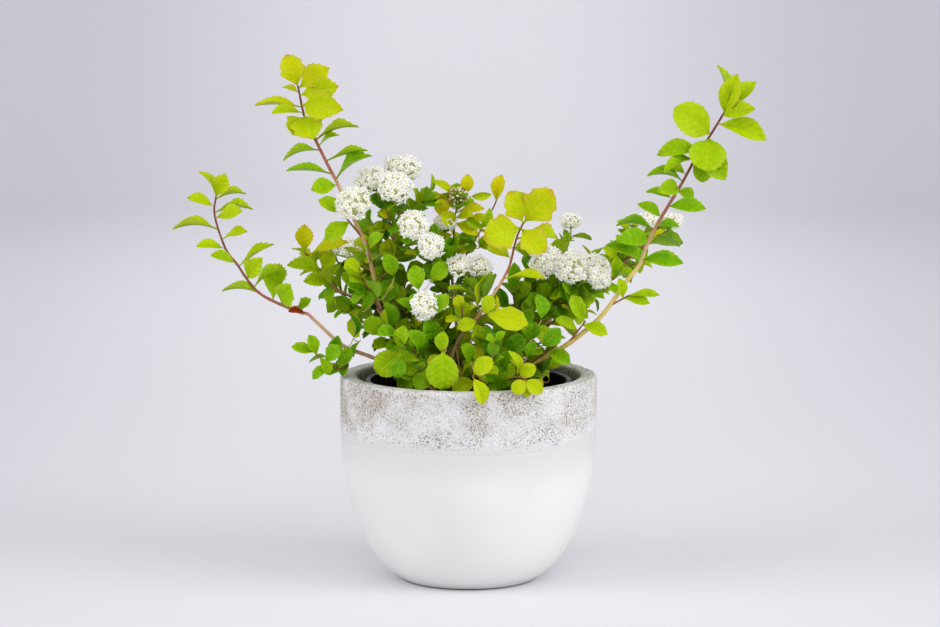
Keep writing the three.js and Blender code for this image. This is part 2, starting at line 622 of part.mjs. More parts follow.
function grownLeaf(stem, { share, along, face, length, width }) {
  const base = middleAt(stem, Math.min(share, 1 - LEAF_BEFORE_TIP / stem.curve.getLength()));
  for (const size of SHARES_OF_SIZE)
    for (const turn of TURNS)
      for (const roll of [0, 25, -25]) {
        const turnedAlong = along.clone().applyAxisAngle(face, radians(turn));
        const turnedFace = face.clone().applyAxisAngle(turnedAlong, radians(roll));
        const leaf = leafSolid(base, turnedAlong, turnedFace, size * length, size * width);
        if (isFree(stem.name, leaf)) return leaf;
      }
  throw new Error(`a leaf of ${stem.name} at ${share} has no room`);
}

// The old leaf is a piece of its own: it only just hangs on beside its stem.
function oldLeaf({ stem, at, bearing, lean, length, width, roll }) {
  const { along, face } = pose(bearing, lean, roll);
  const parent = stems.get(stem);
  const base = branchStart(parent, at, middleAt(parent, at).add(along), 0);
  return leafSolid(base, along, face, length, width);
}

// A shoot's stem and its leaves as one grown piece.
function leafyShoot(stem, leaves) {
  let grown = stem.solid;
  for (const leaf of typeof leaves === "number" ? spreadLeaves(stem, leaves) : listedLeaves(leaves)) {
    const blade = grownLeaf(stem, leaf);
    grown = grown.add(blade);
    addObstacle(stem.name, blade);
  }
  return grown;
}

// ---------------------------------------------------------------- the assembly

function named(name, geometry, material) {
  const mesh = new THREE.Mesh(geometry, material);
  mesh.name = name;
  return mesh;
}

const pottedSpiraea = new THREE.Group();
const plant = new THREE.Group();
plant.position.z = SOIL_Z;

const plantedStems = [...Object.keys(CANES), ...Object.keys(BASAL_SHOOTS)].map((name) => stems.get(name));
const coverPotGeometry = coverPot();
const nurseryPotSolid = nurseryPot();
const soilSolid = soil(plantedStems);
pottedSpiraea.add(named("cover_pot", coverPotGeometry, GLAZE));
pottedSpiraea.add(named("nursery_pot", geometryOf(nurseryPotSolid), BLACK_PLASTIC));
pottedSpiraea.add(named("potting_soil", geometryOf(soilSolid), SOIL));
pottedSpiraea.add(plant);

addObstacle("cover_pot", solidOf(coverPotGeometry.clone().translate(0, 0, -SOIL_Z)));
addObstacle("nursery_pot", nurseryPotSolid.translate([0, 0, -SOIL_Z]));
addObstacle("potting_soil", soilSolid.translate([0, 0, -SOIL_Z]));
for (const stem of stems.values()) addObstacle(stem.name, stem.solid);

const heads = Object.entries(FLOWER_HEADS).map(([name, head]) => [name, flowerHead(head), PETAL]);
heads.push(["bud_head", flowerHead(BUD_HEAD), BUD]);
for (const [name, solid, material] of heads) {
  addObstacle(name, solid);
  plant.add(named(name, geometryOf(solid), material));
}

for (const name of Object.keys(CANES)) plant.add(named(name, geometryOf(stems.get(name).solid), BARK));
const redLeaf = oldLeaf(OLD_LEAF);
addObstacle("red_leaf", redLeaf);
plant.add(named("red_leaf", geometryOf(redLeaf), RED_LEAF));

function addShoots(shoots, material) {
  for (const [name, shoot] of Object.entries(shoots)) {
    const grown = leafyShoot(stems.get(name), shoot.leaves);
    plant.add(named(name, geometryOf(grown), shoot.material ?? material));
  }
}
addShoots(LEADERS, BRIGHT_LEAF);
addShoots(BASAL_SHOOTS, BRIGHT_LEAF);
addShoots(SIDE_SHOOTS, GREEN_LEAF);

export default pottedSpiraea;
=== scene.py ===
import math
import random

import bmesh
import bpy
from mathutils import Matrix, Vector, noise


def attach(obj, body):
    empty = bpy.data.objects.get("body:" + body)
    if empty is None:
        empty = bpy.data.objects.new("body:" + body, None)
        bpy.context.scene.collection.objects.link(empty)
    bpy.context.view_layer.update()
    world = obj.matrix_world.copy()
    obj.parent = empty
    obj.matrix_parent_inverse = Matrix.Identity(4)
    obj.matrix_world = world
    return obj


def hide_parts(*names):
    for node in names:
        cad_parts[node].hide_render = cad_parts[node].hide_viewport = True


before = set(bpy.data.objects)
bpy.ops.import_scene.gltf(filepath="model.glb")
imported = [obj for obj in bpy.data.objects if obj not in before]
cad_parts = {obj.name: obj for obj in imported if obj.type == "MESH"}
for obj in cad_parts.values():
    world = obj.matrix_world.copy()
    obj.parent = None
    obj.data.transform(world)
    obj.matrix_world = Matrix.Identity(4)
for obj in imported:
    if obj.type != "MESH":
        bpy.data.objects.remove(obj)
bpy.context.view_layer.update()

# A golden-leaved spiraea in flower, in a black nursery pot that stands in a stoneware cover pot.
#
# The tables hold millimetres. The plant's places are measured from the middle of the soil's surface.
# A bearing turns anticlockwise from +X as the viewer sees it, and a lean is towards the viewer.

MM = 0.001
BODY = "root"

# ------------------------------------------------------------------ sizes

POT_HEIGHT = 153
POT_RIM_RADIUS = 95.2
POT_BASE_RADIUS = 50
POT_SHOULDER_HEIGHT = 118
POT_RIM_WALL = 13
POT_WALL = 11
POT_FLOOR = 14
GLAZE_EDGE_HEIGHT = 111
CHIP = (88, 31, 152)

NURSERY_BASE_RADIUS = 50
NURSERY_LIP_RADIUS = 77
NURSERY_LIP_Z = POT_HEIGHT - 4
NURSERY_LIP_DEPTH = 8
NURSERY_LIP_OVERHANG = 3
NURSERY_WALL = 1.4
NURSERY_FLOOR_Z = POT_FLOOR + 0.3
DRAIN_HOLES = 6
DRAIN_HOLE_RADIUS = 4.5
DRAIN_CIRCLE_RADIUS = 34

SOIL_Z = NURSERY_LIP_Z - 9
SOIL_RADIUS = 71.9
SOIL_SAG = 3.2
PLANTED_DEPTH = 24

BLOSSOM_ACROSS = 5.6
BLOSSOM_SPACING = 3.3
BUD_RADIUS = 1.05
BUD_SPACING = 2.1
CRUMB_SPACING = 1.7

# ------------------------------------------------------------------ the plant

# Woody canes: two radii, how young and red the bark is at each end, and the points from the soil up.
CANES = {
    "cane_left_low": ((2.1, 1.4), (0.22, 0.38), [
        (-24, -8, 0), (-50, -9, 17), (-72, -10, 27), (-93, -12, 36), (-115, -12, 56)]),
    "cane_left_tall": ((2.2, 1.5), (0.08, 0.36), [
        (-20, 4, 0), (-45, 2, 29), (-58, 1, 49), (-66, 0, 62), (-71, -1, 90), (-77, -2, 112),
        (-95, -4, 152)]),
    "cane_left_small": ((1.6, 1.1), (0.15, 0.4), [
        (-30, 18, 0), (-50, 22, 32), (-69, 24, 57), (-85, 22, 66), (-95, 20, 72)]),
    "cane_flower": ((1.8, 1.0), (0.1, 0.3), [
        (-12, 15, 0), (-32, 13, 25), (-52, 11, 53), (-58, 13, 66), (-60, 14, 90), (-55, 10, 116),
        (-48, 3, 142)]),
    "cane_middle": ((1.8, 1.0), (0.1, 0.4), [(-2, 5, 0), (-8, 9, 40), (-12, 12, 80), (-11, 13, 112)]),
    "cane_gold": ((2.0, 1.2), (0.05, 0.36), [
        (-8, -14, 0), (-13, -20, 20), (-8, -26, 41), (2, -30, 54), (9, -32, 63), (20, -34, 79),
        (24, -35, 86)]),
    "cane_right": ((2.4, 1.7), (0.0, 0.12), [
        (12, -6, 0), (30, -8, 12), (47, -10, 22), (72, -12, 36), (97, -14, 57), (115, -14, 82),
        (123, -13, 92)]),
    "cane_right_inner": ((1.8, 1.0), (0.15, 0.4), [
        (10, 8, 0), (25, 16, 34), (37, 20, 55), (57, 18, 65), (76, 12, 80)]),
    "cane_back_left": ((1.7, 1.0), (0.2, 0.5), [
        (-13, 30, 0), (-40, 40, 40), (-70, 52, 70), (-94, 58, 90)]),
    "cane_back_right": ((1.9, 1.0), (0.2, 0.5), [
        (8, 24, 0), (43, 32, 34), (85, 48, 66), (118, 56, 90), (140, 60, 110)]),
}

# This year's shoots, as thick as the cane at its end. A leaf is (share, bearing, lean, length, width, roll),
# and roll 0 turns its upper face to the viewer. The two tones are those of its lowest and highest leaves.
LEADERS = {
    "shoot_left_low": dict(
        cane="cane_left_low", tip_radius=0.7, tones=(0.5, 0.72),
        points=[(-126, -12, 61), (-150, -12, 72), (-161, -10, 82), (-170, -8, 95), (-179, -6, 107),
                (-187, -2, 131), (-186, 0, 145)],
        leaves=[
            (1, 122, 9, 23, 9, 62), (1, 66, 19, 21, 14, 10), (0.98, 10, -5, 23, 9, 76),
            (0.94, 160, 20, 22, 12, 52), (0.9, 6, 5, 29, 10, 80), (0.87, 16, 35, 27, 14, 46),
            (0.8, 180, -5, 34, 9, 80), (0.74, 18, 20, 22, 12, 62), (0.68, 172, 25, 23, 12, 60),
            (0.57, 158, 25, 22, 12, 56), (0.55, 32, -5, 31, 11, 68), (0.46, 54, 28, 24, 15, 20),
            (0.4, 38, 0, 27, 12, 60), (0.34, 176, -5, 29, 9, 80), (0.26, 82, -28, 30, 19, 18),
            (0.2, 66, 38, 23, 20, 28), (0.12, 35, 19, 16, 11, 50)]),
    "shoot_left_tall": dict(
        cane="cane_left_tall", tip_radius=0.8, tones=(0.5, 0.8),
        points=[(-102, -5, 166), (-114, -7, 191), (-120, -7, 204), (-125, -5, 227)],
        leaves=[
            (0.98, 108, 9, 26, 20, 8), (0.97, 34, 9, 28, 18, 14), (0.91, 14, 30, 35, 20, 14),
            (0.82, 356, 38, 40, 21, 14), (0.93, 165, -38, 17, 8, 58), (0.8, 178, -5, 35, 11, 68),
            (0.75, 178, 30, 26, 12, 56), (0.73, 290, 48, 26, 26, 8), (0.72, 235, 48, 22, 20, 8),
            (0.48, 17, -5, 33, 9, 82), (0.42, 28, 10, 18, 9, 74), (0.38, 196, -8, 29, 11, 74),
            (0.27, 15, 5, 32, 10, 80), (0.14, 175, 8, 34, 11, 74), (0.08, 34, 9, 33, 13, 68),
            (0.03, 188, 19, 21, 14, 28)]),
    "shoot_left_small": dict(
        cane="cane_left_small", tip_radius=0.7, tones=(0.45, 0.9),
        points=[(-106, 20, 83), (-115, 18, 93), (-122, 16, 102)],
        leaves=[
            (1, 90, 9, 22, 14, 5), (0.9, 21, 28, 38, 12, 48), (0.75, 30, -28, 31, 12, 55),
            (0.5, 60, 19, 19, 14, 20), (0.45, 163, 19, 30, 14, 42), (0.3, 176, 38, 24, 12, 30),
            (0.15, 250, 38, 16, 9, 30)]),
    "shoot_middle": dict(
        cane="cane_middle", tip_radius=0.6, tones=(0.75, 0.88),
        points=[(-10, 12, 128), (-9, 11, 134)],
        leaves=[
            (0.95, 138, -10, 19, 8, 34), (0.95, 78, -48, 24, 12, 5), (0.9, 8, 9, 22, 9, 44),
            (0.7, 16, 48, 22, 9, 48), (0.55, 335, 28, 22, 12, 30), (0.5, 136, 38, 19, 12, 14),
            (0.2, 205, 9, 18, 13, 30)]),
    "shoot_gold": dict(
        cane="cane_gold", tip_radius=0.7, tones=(0.66, 0.8),
        points=[(30, -35, 98), (35, -34, 118), (40, -33, 129)],
        leaves=[
            (1, 112, 19, 28, 23, 20), (1, 50, 19, 35, 28, 8), (0.92, 192, 28, 32, 27, 8),
            (0.9, 316, 28, 27, 22, 10), (0.72, 355, -38, 39, 13, 44), (0.4, 150, -38, 24, 14, 30),
            (0.06, 2, 19, 33, 11, 66)]),
    "shoot_right": dict(
        cane="cane_right", tip_radius=0.9, tones=(0.4, 0.64), round_blade=True,
        points=[(128, -12, 102), (135, -12, 119), (147, -12, 140), (155, -11, 153), (168, -10, 177),
                (176, -9, 189), (187, -8, 207)],
        leaves=[
            (1, 98, 0, 36, 11, 52), (1, 73, 19, 33, 16, 14), (1, 44, -10, 34, 13, 28),
            (0.98, 15, 38, 30, 14, 34), (0.93, 342, 9, 38, 16, 24), (0.86, 143, 9, 34, 25, 14),
            (0.84, 262, 42, 31, 28, 4), (0.75, 276, 9, 23, 16, 14), (0.75, 312, 19, 29, 19, 14),
            (0.76, 187, 0, 32, 14, 30), (0.7, 198, 38, 32, 11, 58), (0.6, 160, -48, 24, 10, 44),
            (0.56, 170, 19, 29, 10, 68), (0.52, 182, 48, 26, 13, 24), (0.45, 168, -28, 22, 9, 48),
            (0.33, 150, 19, 22, 10, 38), (0.5, 340, -19, 14, 10, 20), (0.4, 358, 19, 29, 12, 30),
            (0.25, 176, -19, 29, 9, 62), (0.19, 176, 38, 32, 15, 28), (0.27, 5, 48, 24, 8, 56),
            (0.07, 156, 19, 31, 13, 34), (0.07, 357, 19, 32, 13, 30)]),
}

# Side shoots: the stem that each grows from and where, its points, its tone, and its leaves, which are
# listed as above or are a number of leaves spread round the shoot.
SIDE_SHOOTS = {
    "side_shoot_trailing": ("cane_left_low", 0.72, [(-92, -20, 20), (-103, -24, 24), (-114, -24, 33)], 0.42, [
        (0.15, 250, 20, 14, 9, 30), (0.3, 200, 10, 16, 10, 40), (0.45, 60, 0, 18, 11, 20),
        (0.6, 215, 10, 17, 10, 40), (0.72, 50, 20, 18, 12, 20), (0.85, 300, 10, 15, 9, 30),
        (0.92, 110, 10, 16, 10, 30), (1, 165, 5, 17, 10, 40)]),
    "side_shoot_tall_upper": ("cane_left_tall", 0.8, [(-96, -12, 138)], 0.5, [
        (0.5, 215, 10, 22, 14, 20), (0.8, 150, 5, 20, 12, 30), (0.9, 20, 20, 22, 12, 30)]),
    "side_shoot_tall_lower": ("cane_left_tall", 0.5, [(-78, -14, 86), (-80, -22, 94)], 0.42, 9),
    "side_shoot_flower_low": ("cane_flower", 0.5, [(-72, 22, 84), (-80, 24, 96)], 0.45, 9),
    "side_shoot_flower_high": ("cane_flower", 0.86, [(-38, 10, 136), (-30, 8, 144)], 0.45, 9),
    "side_shoot_middle_left": ("cane_middle", 0.62, [(-24, -2, 92), (-32, -8, 102)], 0.45, 10),
    "side_shoot_middle_right": ("cane_middle", 0.8, [(8, 18, 116), (18, 18, 134), (21, 18, 141)], 0.85, [
        (1, 78, 5, 20, 11, 20), (0.8, 200, 10, 16, 9, 40), (0.6, 350, 10, 20, 11, 30),
        (0.35, 190, 15, 22, 13, 20), (0.2, 340, -10, 22, 13, 20)]),
    "side_shoot_gold_left": ("cane_gold", 0.42, [(-22, -34, 54), (-32, -36, 64)], 0.4, 10),
    "side_shoot_gold_right": ("cane_gold", 0.62, [(8, -42, 60), (14, -46, 64)], 0.6, [
        (1, 347, 10, 31, 18, 22), (0.6, 200, 20, 16, 11, 20), (0.5, 290, 10, 18, 13, 10),
        (0.9, 70, 0, 16, 11, 20)]),
    "side_shoot_inner_up": ("cane_right_inner", 0.6, [(48, 30, 84), (44, 32, 98)], 0.35, 10),
    "side_shoot_inner_out": ("cane_right_inner", 0.8, [(78, 4, 66), (92, 0, 76)], 0.35, 9),
    "side_shoot_right_low": ("cane_right", 0.38, [(66, -18, 38)], 0.45, [
        (0.9, 137, 10, 21, 13, 20), (0.6, 335, 20, 20, 12, 30), (0.5, 170, 5, 14, 9, 40)]),
    "side_shoot_right_middle": ("cane_right", 0.58, [(86, -19, 55)], 0.5, [
        (0.9, 114, 5, 23, 12, 14), (0.8, 340, 15, 20, 11, 28), (0.5, 150, 15, 20, 10, 40)]),
    "side_shoot_right_upper": ("cane_right", 0.82, [(118, -19, 74)], 0.5, [
        (0.9, 2, 5, 24, 9, 56), (0.7, 350, 20, 20, 9, 40), (0.6, 100, 10, 16, 9, 30)]),
    "side_shoot_back_left": ("cane_back_left", 0.7, [(-70, 66, 84), (-72, 76, 96)], 0.4, 10),
    "side_shoot_back_middle": ("cane_back_right", 0.45, [(62, 58, 78), (74, 72, 104)], 0.4, 11),
    "side_shoot_back_right": ("cane_back_right", 0.75, [(120, 72, 92), (134, 76, 104)], 0.45, 11),
}

# Low shoots straight out of the soil. The last three hang over the rim.
BASAL_SHOOTS = {
    "basal_shoot_left": ([(-33, -22, 0), (-45, -36, 24), (-50, -46, 39)], 0.45, [
        (0.95, 222, 5, 24, 20, 8), (1, 298, 5, 22, 16, 14), (0.7, 262, 20, 20, 13, 10),
        (0.45, 250, 30, 14, 10, 10), (0.98, 80, 5, 18, 12, 20)]),
    "basal_shoot_front_left": ([(-18, -32, 0), (-25, -52, 22), (-18, -72, 41)], 0.46, [
        (1, 268, 8, 28, 24, 0), (0.95, 84, 10, 17, 11, 20), (0.8, 250, 10, 18, 11, 14),
        (0.6, 200, 20, 18, 13, 20), (0.4, 300, 25, 16, 12, 20)]),
    "basal_shoot_front_middle": ([(3, -28, 0), (5, -52, 16), (5, -80, 27), (3, -97, 25)], 0.6, [
        (0.95, 42, 5, 18, 13, 18), (1, 290, 8, 21, 12, 24), (0.6, 20, 10, 18, 13, 20),
        (0.5, 200, 5, 18, 13, 20)]),
    "basal_shoot_front_right": ([(18, -26, 0), (27, -46, 14), (36, -75, 22), (41, -91, 22)], 0.58, [
        (1, 225, 15, 13, 11, 8), (1, 325, 15, 15, 11, 10), (0.97, 280, 20, 13, 9, 10),
        (0.8, 108, 10, 21, 9, 48), (0.85, 35, 5, 14, 11, 20), (0.5, 190, 10, 18, 12, 20),
        (0.4, 60, 5, 20, 13, 20)]),
}

# Short leafy spurs that the canes carry inside the plant: where they start and end, and their tone.
SPURRED = {
    "cane_left_tall": (0.3, 0.72, 0.35),
    "cane_left_small": (0.35, 0.98, 0.38),
    "cane_flower": (0.25, 0.9, 0.38),
    "cane_middle": (0.25, 0.92, 0.38),
    "cane_gold": (0.2, 0.8, 0.42),
    "cane_right_inner": (0.22, 0.95, 0.32),
    "cane_back_left": (0.3, 0.98, 0.35),
    "cane_back_right": (0.25, 0.98, 0.38),
    "cane_right": (0.12, 0.3, 0.35),
    "cane_left_low": (0.12, 0.26, 0.35),
}
SPUR_SPACING = 7.5
CROWN_SHOOTS = 16

# Flower heads: the stem and where the stalk leaves it, the dome's middle, its radius and the way it looks.
FLOWER_HEADS = {
    "flower_head_top_back": ("cane_flower", 0.98, (-49, 12, 165), 14.2, (0.1, 0.1, 1)),
    "flower_head_top_front": ("cane_flower", 0.94, (-54, -14, 154), 13, (0, -0.6, 0.8)),
    "flower_head_top_left": ("cane_flower", 0.9, (-72, 4, 157), 12.2, (-0.4, 0, 0.9)),
    "flower_head_left_front": ("cane_flower", 0.8, (-84, -17, 142), 14, (-0.4, -0.6, 0.6)),
    "flower_head_centre": ("cane_middle", 0.9, (-40, -26, 127), 11, (-0.1, -0.85, 0.4)),
    "flower_head_centre_low": ("cane_middle", 0.8, (-27, -33, 112), 9.6, (0.1, -0.85, 0.3)),
    "flower_head_centre_back": ("cane_middle", 0.95, (-17, 12, 124), 9, (0, 0.3, 0.9)),
    "flower_head_middle_left": ("cane_gold", 0.78, (-7, -24, 97), 9, (-0.3, -0.5, 0.7)),
    "flower_head_middle_right": ("cane_gold", 0.84, (7, -20, 96), 9.6, (0.1, -0.3, 0.9)),
    "flower_head_front": ("cane_gold", 0.5, (-32, -46, 70), 10, (-0.1, -0.9, 0.2)),
    "flower_head_right_inner": ("cane_right_inner", 0.8, (57, 2, 96), 13.5, (-0.5, -0.3, 0.8)),
    "flower_head_right_middle": ("cane_right_inner", 0.95, (76, -10, 94), 13.4, (0, -0.7, 0.7)),
    "flower_head_right_outer": ("cane_right_inner", 0.9, (94, -5, 90), 14.2, (0.7, -0.2, 0.6)),
    "flower_head_back_middle": ("side_shoot_back_middle", 0.95, (78, 77, 119), 8, (0, 0, 1)),
    "flower_head_back_right_a": ("cane_back_right", 0.92, (136, 60, 121), 8, (-0.1, 0, 1)),
    "flower_head_back_right_b": ("cane_back_right", 0.97, (155, 64, 121), 8, (0.3, 0.1, 0.9)),
    "flower_head_back_left_a": ("cane_back_left", 0.97, (-103, 55, 102), 10, (-0.3, 0, 0.9)),
    "flower_head_back_left_b": ("cane_back_left", 0.9, (-86, 48, 101), 10.5, (0.1, -0.2, 0.9)),
}
BUD_HEAD = ("shoot_middle", 0.9, (-8, 8, 145), 7.5, (0, -0.3, 1))
OLD_LEAF = dict(stem="shoot_left_low", at=0.05, bearing=168, lean=40, length=17, width=9, roll=62)

SIDE_SHOOT_RADII = (0.9, 0.6)
GOLDEN_ANGLE = math.radians(137.5)


# ------------------------------------------------------------------ small helpers


def link(mesh, name):
    piece = bpy.data.objects.new(name, mesh)
    bpy.context.scene.collection.objects.link(piece)
    return piece


def mesh_from(name, points, faces=(), edges=()):
    mesh = bpy.data.meshes.new(name)
    mesh.from_pydata([tuple(point) for point in points], edges, faces)
    return mesh


def mesh_of(name, build):
    """The mesh that a finished bmesh makes."""
    mesh = bpy.data.meshes.new(name)
    build.to_mesh(mesh)
    build.free()
    return mesh


def store(mesh, name, kind, values, domain="POINT"):
    """Keeps one value for each point or face of a mesh as a named attribute."""
    layer = mesh.attributes.new(name, kind, domain)
    if kind == "FLOAT_VECTOR":
        layer.data.foreach_set("vector", [number for value in values for number in value])
    else:
        layer.data.foreach_set("value", list(values))


def smooth_mesh(mesh):
    mesh.polygons.foreach_set("use_smooth", [True] * len(mesh.polygons))


def circle_point(radius, turn, height=0.0):
    return Vector((radius * math.cos(turn), radius * math.sin(turn), height))


def above_soil(point):
    """A place among the plant's, in metres from the pot's base."""
    return (point + Vector((0, 0, SOIL_Z))) * MM


def square_to(axis, vector):
    """The part of a vector that is square to an axis, as a direction."""
    return (vector - axis * vector.dot(axis)).normalized()


def turned_about(vector, axis, angle):
    return Matrix.Rotation(angle, 3, axis) @ vector


def heading(bearing, lean):
    flat = math.cos(math.radians(lean))
    return Vector((
        flat * math.cos(math.radians(bearing)),
        -math.sin(math.radians(lean)),
        flat * math.sin(math.radians(bearing))))


def rolled_face(along, roll, outlook=Vector((0, -1, 0))):
    """The way that a leaf's upper face looks, which is towards the outlook when the roll is 0."""
    return turned_about(square_to(along, outlook), along, math.radians(roll))


def blend(a, b, share):
    return a + (b - a) * share


class Stem:
    """A smooth curve through points, measured along its length, with a radius and a youth at each end."""

    SPAN_STEPS = 16

    def __init__(self, points, radii, youth):
        ends = [2 * points[0] - points[1], *points, 2 * points[-1] - points[-2]]
        self.places = []
        for p0, p1, p2, p3 in zip(ends, ends[1:], ends[2:], ends[3:]):
            for step in range(self.SPAN_STEPS):
                t = step / self.SPAN_STEPS
                self.places.append(0.5 * (
                    2 * p1 + (p2 - p0) * t
                    + (2 * p0 - 5 * p1 + 4 * p2 - p3) * t ** 2
                    + (3 * p1 - p0 - 3 * p2 + p3) * t ** 3))
        self.places.append(points[-1])
        self.lengths = [0.0]
        for before, after in zip(self.places, self.places[1:]):
            self.lengths.append(self.lengths[-1] + (after - before).length)
        self.length = self.lengths[-1]
        self.radii, self.youth = radii, youth

    def at(self, share):
        target = min(max(share, 0), 1) * self.length
        for i in range(1, len(self.places)):
            if self.lengths[i] >= target:
                break
        span = self.lengths[i] - self.lengths[i - 1]
        return self.places[i - 1].lerp(self.places[i], (target - self.lengths[i - 1]) / span if span else 0)

    def tangent(self, share):
        return (self.at(share + 0.01) - self.at(share - 0.01)).normalized()

    def radius(self, share):
        return blend(*self.radii, share)


stems = {}


def planted(points):
    """A stem's points with a first one down in the soil, nearer to the middle."""
    x, y, _ = points[0]
    return [Vector((0.85 * x, 0.85 * y, -PLANTED_DEPTH)), *map(Vector, points)]


def branch_start(parent, share, towards):
    """A place just inside a stem's bark, on the side that a branch leaves from."""
    middle = parent.at(share)
    outwards = (towards - middle).normalized()
    side = square_to(parent.tangent(share), outwards)
    return middle + side * (parent.radius(share) * 0.6)


for name, (radii, youth, points) in CANES.items():
    stems[name] = Stem(planted(points), radii, youth)
for name, shoot in LEADERS.items():
    cane = stems[shoot["cane"]]
    end, line = cane.at(1), cane.tangent(1)
    start = [end - line * 0.5, end + line * 5]
    stems[name] = Stem(start + list(map(Vector, shoot["points"])), (cane.radii[1], shoot["tip_radius"]),
                       (cane.youth[1], 1.0))
for name, (parent, share, points, tone, leaves) in SIDE_SHOOTS.items():
    places = list(map(Vector, points))
    stems[name] = Stem([branch_start(stems[parent], share, places[0]), *places], SIDE_SHOOT_RADII,
                       (0.5, 0.8))
for name, (points, tone, leaves) in BASAL_SHOOTS.items():
    stems[name] = Stem(planted(points), (1.1, 0.6), (0.3, 0.6))

# ------------------------------------------------------------------ leaves as points to grow blades on

# Leaf shapes: how wide, where widest, how round the end, teeth, arch of the midrib, fold along it.
LARGE_SHAPES = [
    dict(peak=1.35, blunt=0.8, teeth=0.09, lobes=0.0, arch=0.14, fold=0.30, wave=0.02),
    dict(peak=1.35, blunt=0.8, teeth=0.09, lobes=0.0, arch=0.30, fold=0.42, wave=0.03),
    dict(peak=1.4, blunt=0.6, teeth=0.04, lobes=1.0, arch=0.10, fold=0.20, wave=0.035),
    dict(peak=1.4, blunt=0.6, teeth=0.04, lobes=0.8, arch=0.24, fold=0.30, wave=0.045),
    dict(peak=1.12, blunt=0.5, teeth=0.05, lobes=0.0, arch=0.14, fold=0.16, wave=0.025),
    dict(peak=1.16, blunt=0.5, teeth=0.05, lobes=0.0, arch=0.26, fold=0.24, wave=0.035),
    dict(peak=1.15, blunt=0.72, teeth=0.05, lobes=0.0, arch=0.20, fold=0.34, wave=0.02),
    dict(peak=1.15, blunt=0.72, teeth=0.05, lobes=0.0, arch=0.36, fold=0.44, wave=0.02),
]
# The first of the two large shapes for each kind of blade.
NARROW, LOBED_BROAD, LONG_SMOOTH, ROUND = 0, 2, 6, 4
SMALL_SHAPES = [
    dict(peak=1.2, blunt=0.62, teeth=0.07, lobes=0.0, arch=0.10, fold=0.22, wave=0.02),
    dict(peak=1.25, blunt=0.6, teeth=0.07, lobes=0.0, arch=0.26, fold=0.34, wave=0.02),
    dict(peak=1.45, blunt=0.58, teeth=0.09, lobes=0.0, arch=0.18, fold=0.28, wave=0.03),
]
# Half widths along a three-lobed blade, as (share of the length, half width).
LOBED = ((0, 0.02), (0.14, 0.12), (0.3, 0.31), (0.46, 0.48), (0.55, 0.5), (0.62, 0.37), (0.7, 0.42),
         (0.78, 0.41), (0.84, 0.29), (0.92, 0.24), (0.97, 0.14), (1, 0))
LEAF_THICKNESS = 0.016  # of its length
LEAF_STALK = 0.07  # of its length
STALK_HALF_WIDTH = 0.025
BLUNT_TIP_HALF_WIDTH = 0.04
BROAD_LEAF = 0.68  # width over length


def leaf_shape(name, steps, sides, peak, blunt, teeth, lobes, arch, fold, wave):
    """A closed blade of length 1 and width 1 along +X, whose upper face looks towards +Z."""

    def share_along(row):
        return 1 - (1 - row / steps) ** 1.35

    def half_width(u):
        if u < LEAF_STALK:
            return STALK_HALF_WIDTH
        t = (u - LEAF_STALK) / (1 - LEAF_STALK)
        width = 0.5 * max(math.sin(math.pi * min(t, 1) ** peak), 0.0) ** blunt
        for (low, at_low), (high, at_high) in zip(LOBED, LOBED[1:]):
            if low <= t <= high:
                width = blend(width, blend(at_low, at_high, (t - low) / (high - low)), lobes)
                break
        return max(width, STALK_HALF_WIDTH if u < 0.5 else 0.0)

    def place(row, column, side):
        u = share_along(row)
        across = 2 * column / sides - 1
        width = BLUNT_TIP_HALF_WIDTH if row == steps else half_width(u)
        toothed = column in (0, sides) and 0.42 < u < 0.99
        notch = row % 2 == 0
        tooth = teeth * (-0.85 if notch else 0.35) if toothed else 0
        y = across * width * (1 + tooth)
        x = u + (0.3 * tooth if u > 0.75 else 0)
        arched, folded = 1.5 * arch * u * (1 - u), fold * abs(y) * (1 - 0.3 * u)
        z = arched + folded + wave * math.sin(9 * u + 2 * across) * abs(across)
        z += side * LEAF_THICKNESS * 0.5 * (1.6 if column == sides // 2 else 1)
        return Vector((x, y, z))

    points, faces, uvs, under = [], [], [], []
    ids = {}
    for side in (1, -1):
        for row in range(steps + 1):
            for column in range(sides + 1):
                border = row in (0, steps) or column in (0, sides)
                if side == -1 and border:
                    ids[side, row, column] = ids[1, row, column]
                    continue
                ids[side, row, column] = len(points)
                points.append(place(row, column, 0 if border else side))
                uvs.append((share_along(row), column / sides))
                under.append(0.5 if border else (0.0 if side == 1 else 1.0))
    for side in (1, -1):
        for row in range(steps):
            for column in range(sides):
                quad = [ids[side, row, column], ids[side, row + 1, column],
                        ids[side, row + 1, column + 1], ids[side, row, column + 1]]
                faces.append(quad if side == 1 else quad[::-1])
    mesh = mesh_from(name, points, faces)
    layer = mesh.uv_layers.new(name="UVMap")
    for loop in mesh.loops:
        layer.data[loop.index].uv = uvs[loop.vertex_index]
    store(mesh, "under", "FLOAT", under)
    for edge in mesh.edges:
        edge.use_edge_sharp = all(under[end] == 0.5 for end in edge.vertices)
    return mesh


def shape_collection(name, meshes):
    """A collection of shapes, which no view shows, for a tree to pick from."""
    group = bpy.data.collections.new(name)
    for i, mesh in enumerate(meshes):
        group.objects.link(bpy.data.objects.new(f"{name}_{i}", mesh))
    return group


leaf_rng = random.Random(11)
leaf_points = {"leaders": [], "gold": [], "side": [], "basal": [], "old": []}
head_places = [(Vector(middle), radius) for _, _, middle, radius, _ in FLOWER_HEADS.values()]


def clear_of_flowers(base, along, length):
    return all(
        (base + along * length * share - middle).length > radius * 0.95
        for middle, radius in head_places for share in (0.35, 0.7, 1.0))


def clear_of_pots(point):
    """True above the soil and the pots, and outside them."""
    reach = math.hypot(point.x, point.y)
    height = point.z + SOIL_Z
    if reach < NURSERY_LIP_RADIUS - 7:
        return height > SOIL_Z + 2
    return height > POT_HEIGHT + 1 or reach > POT_RIM_RADIUS + 1


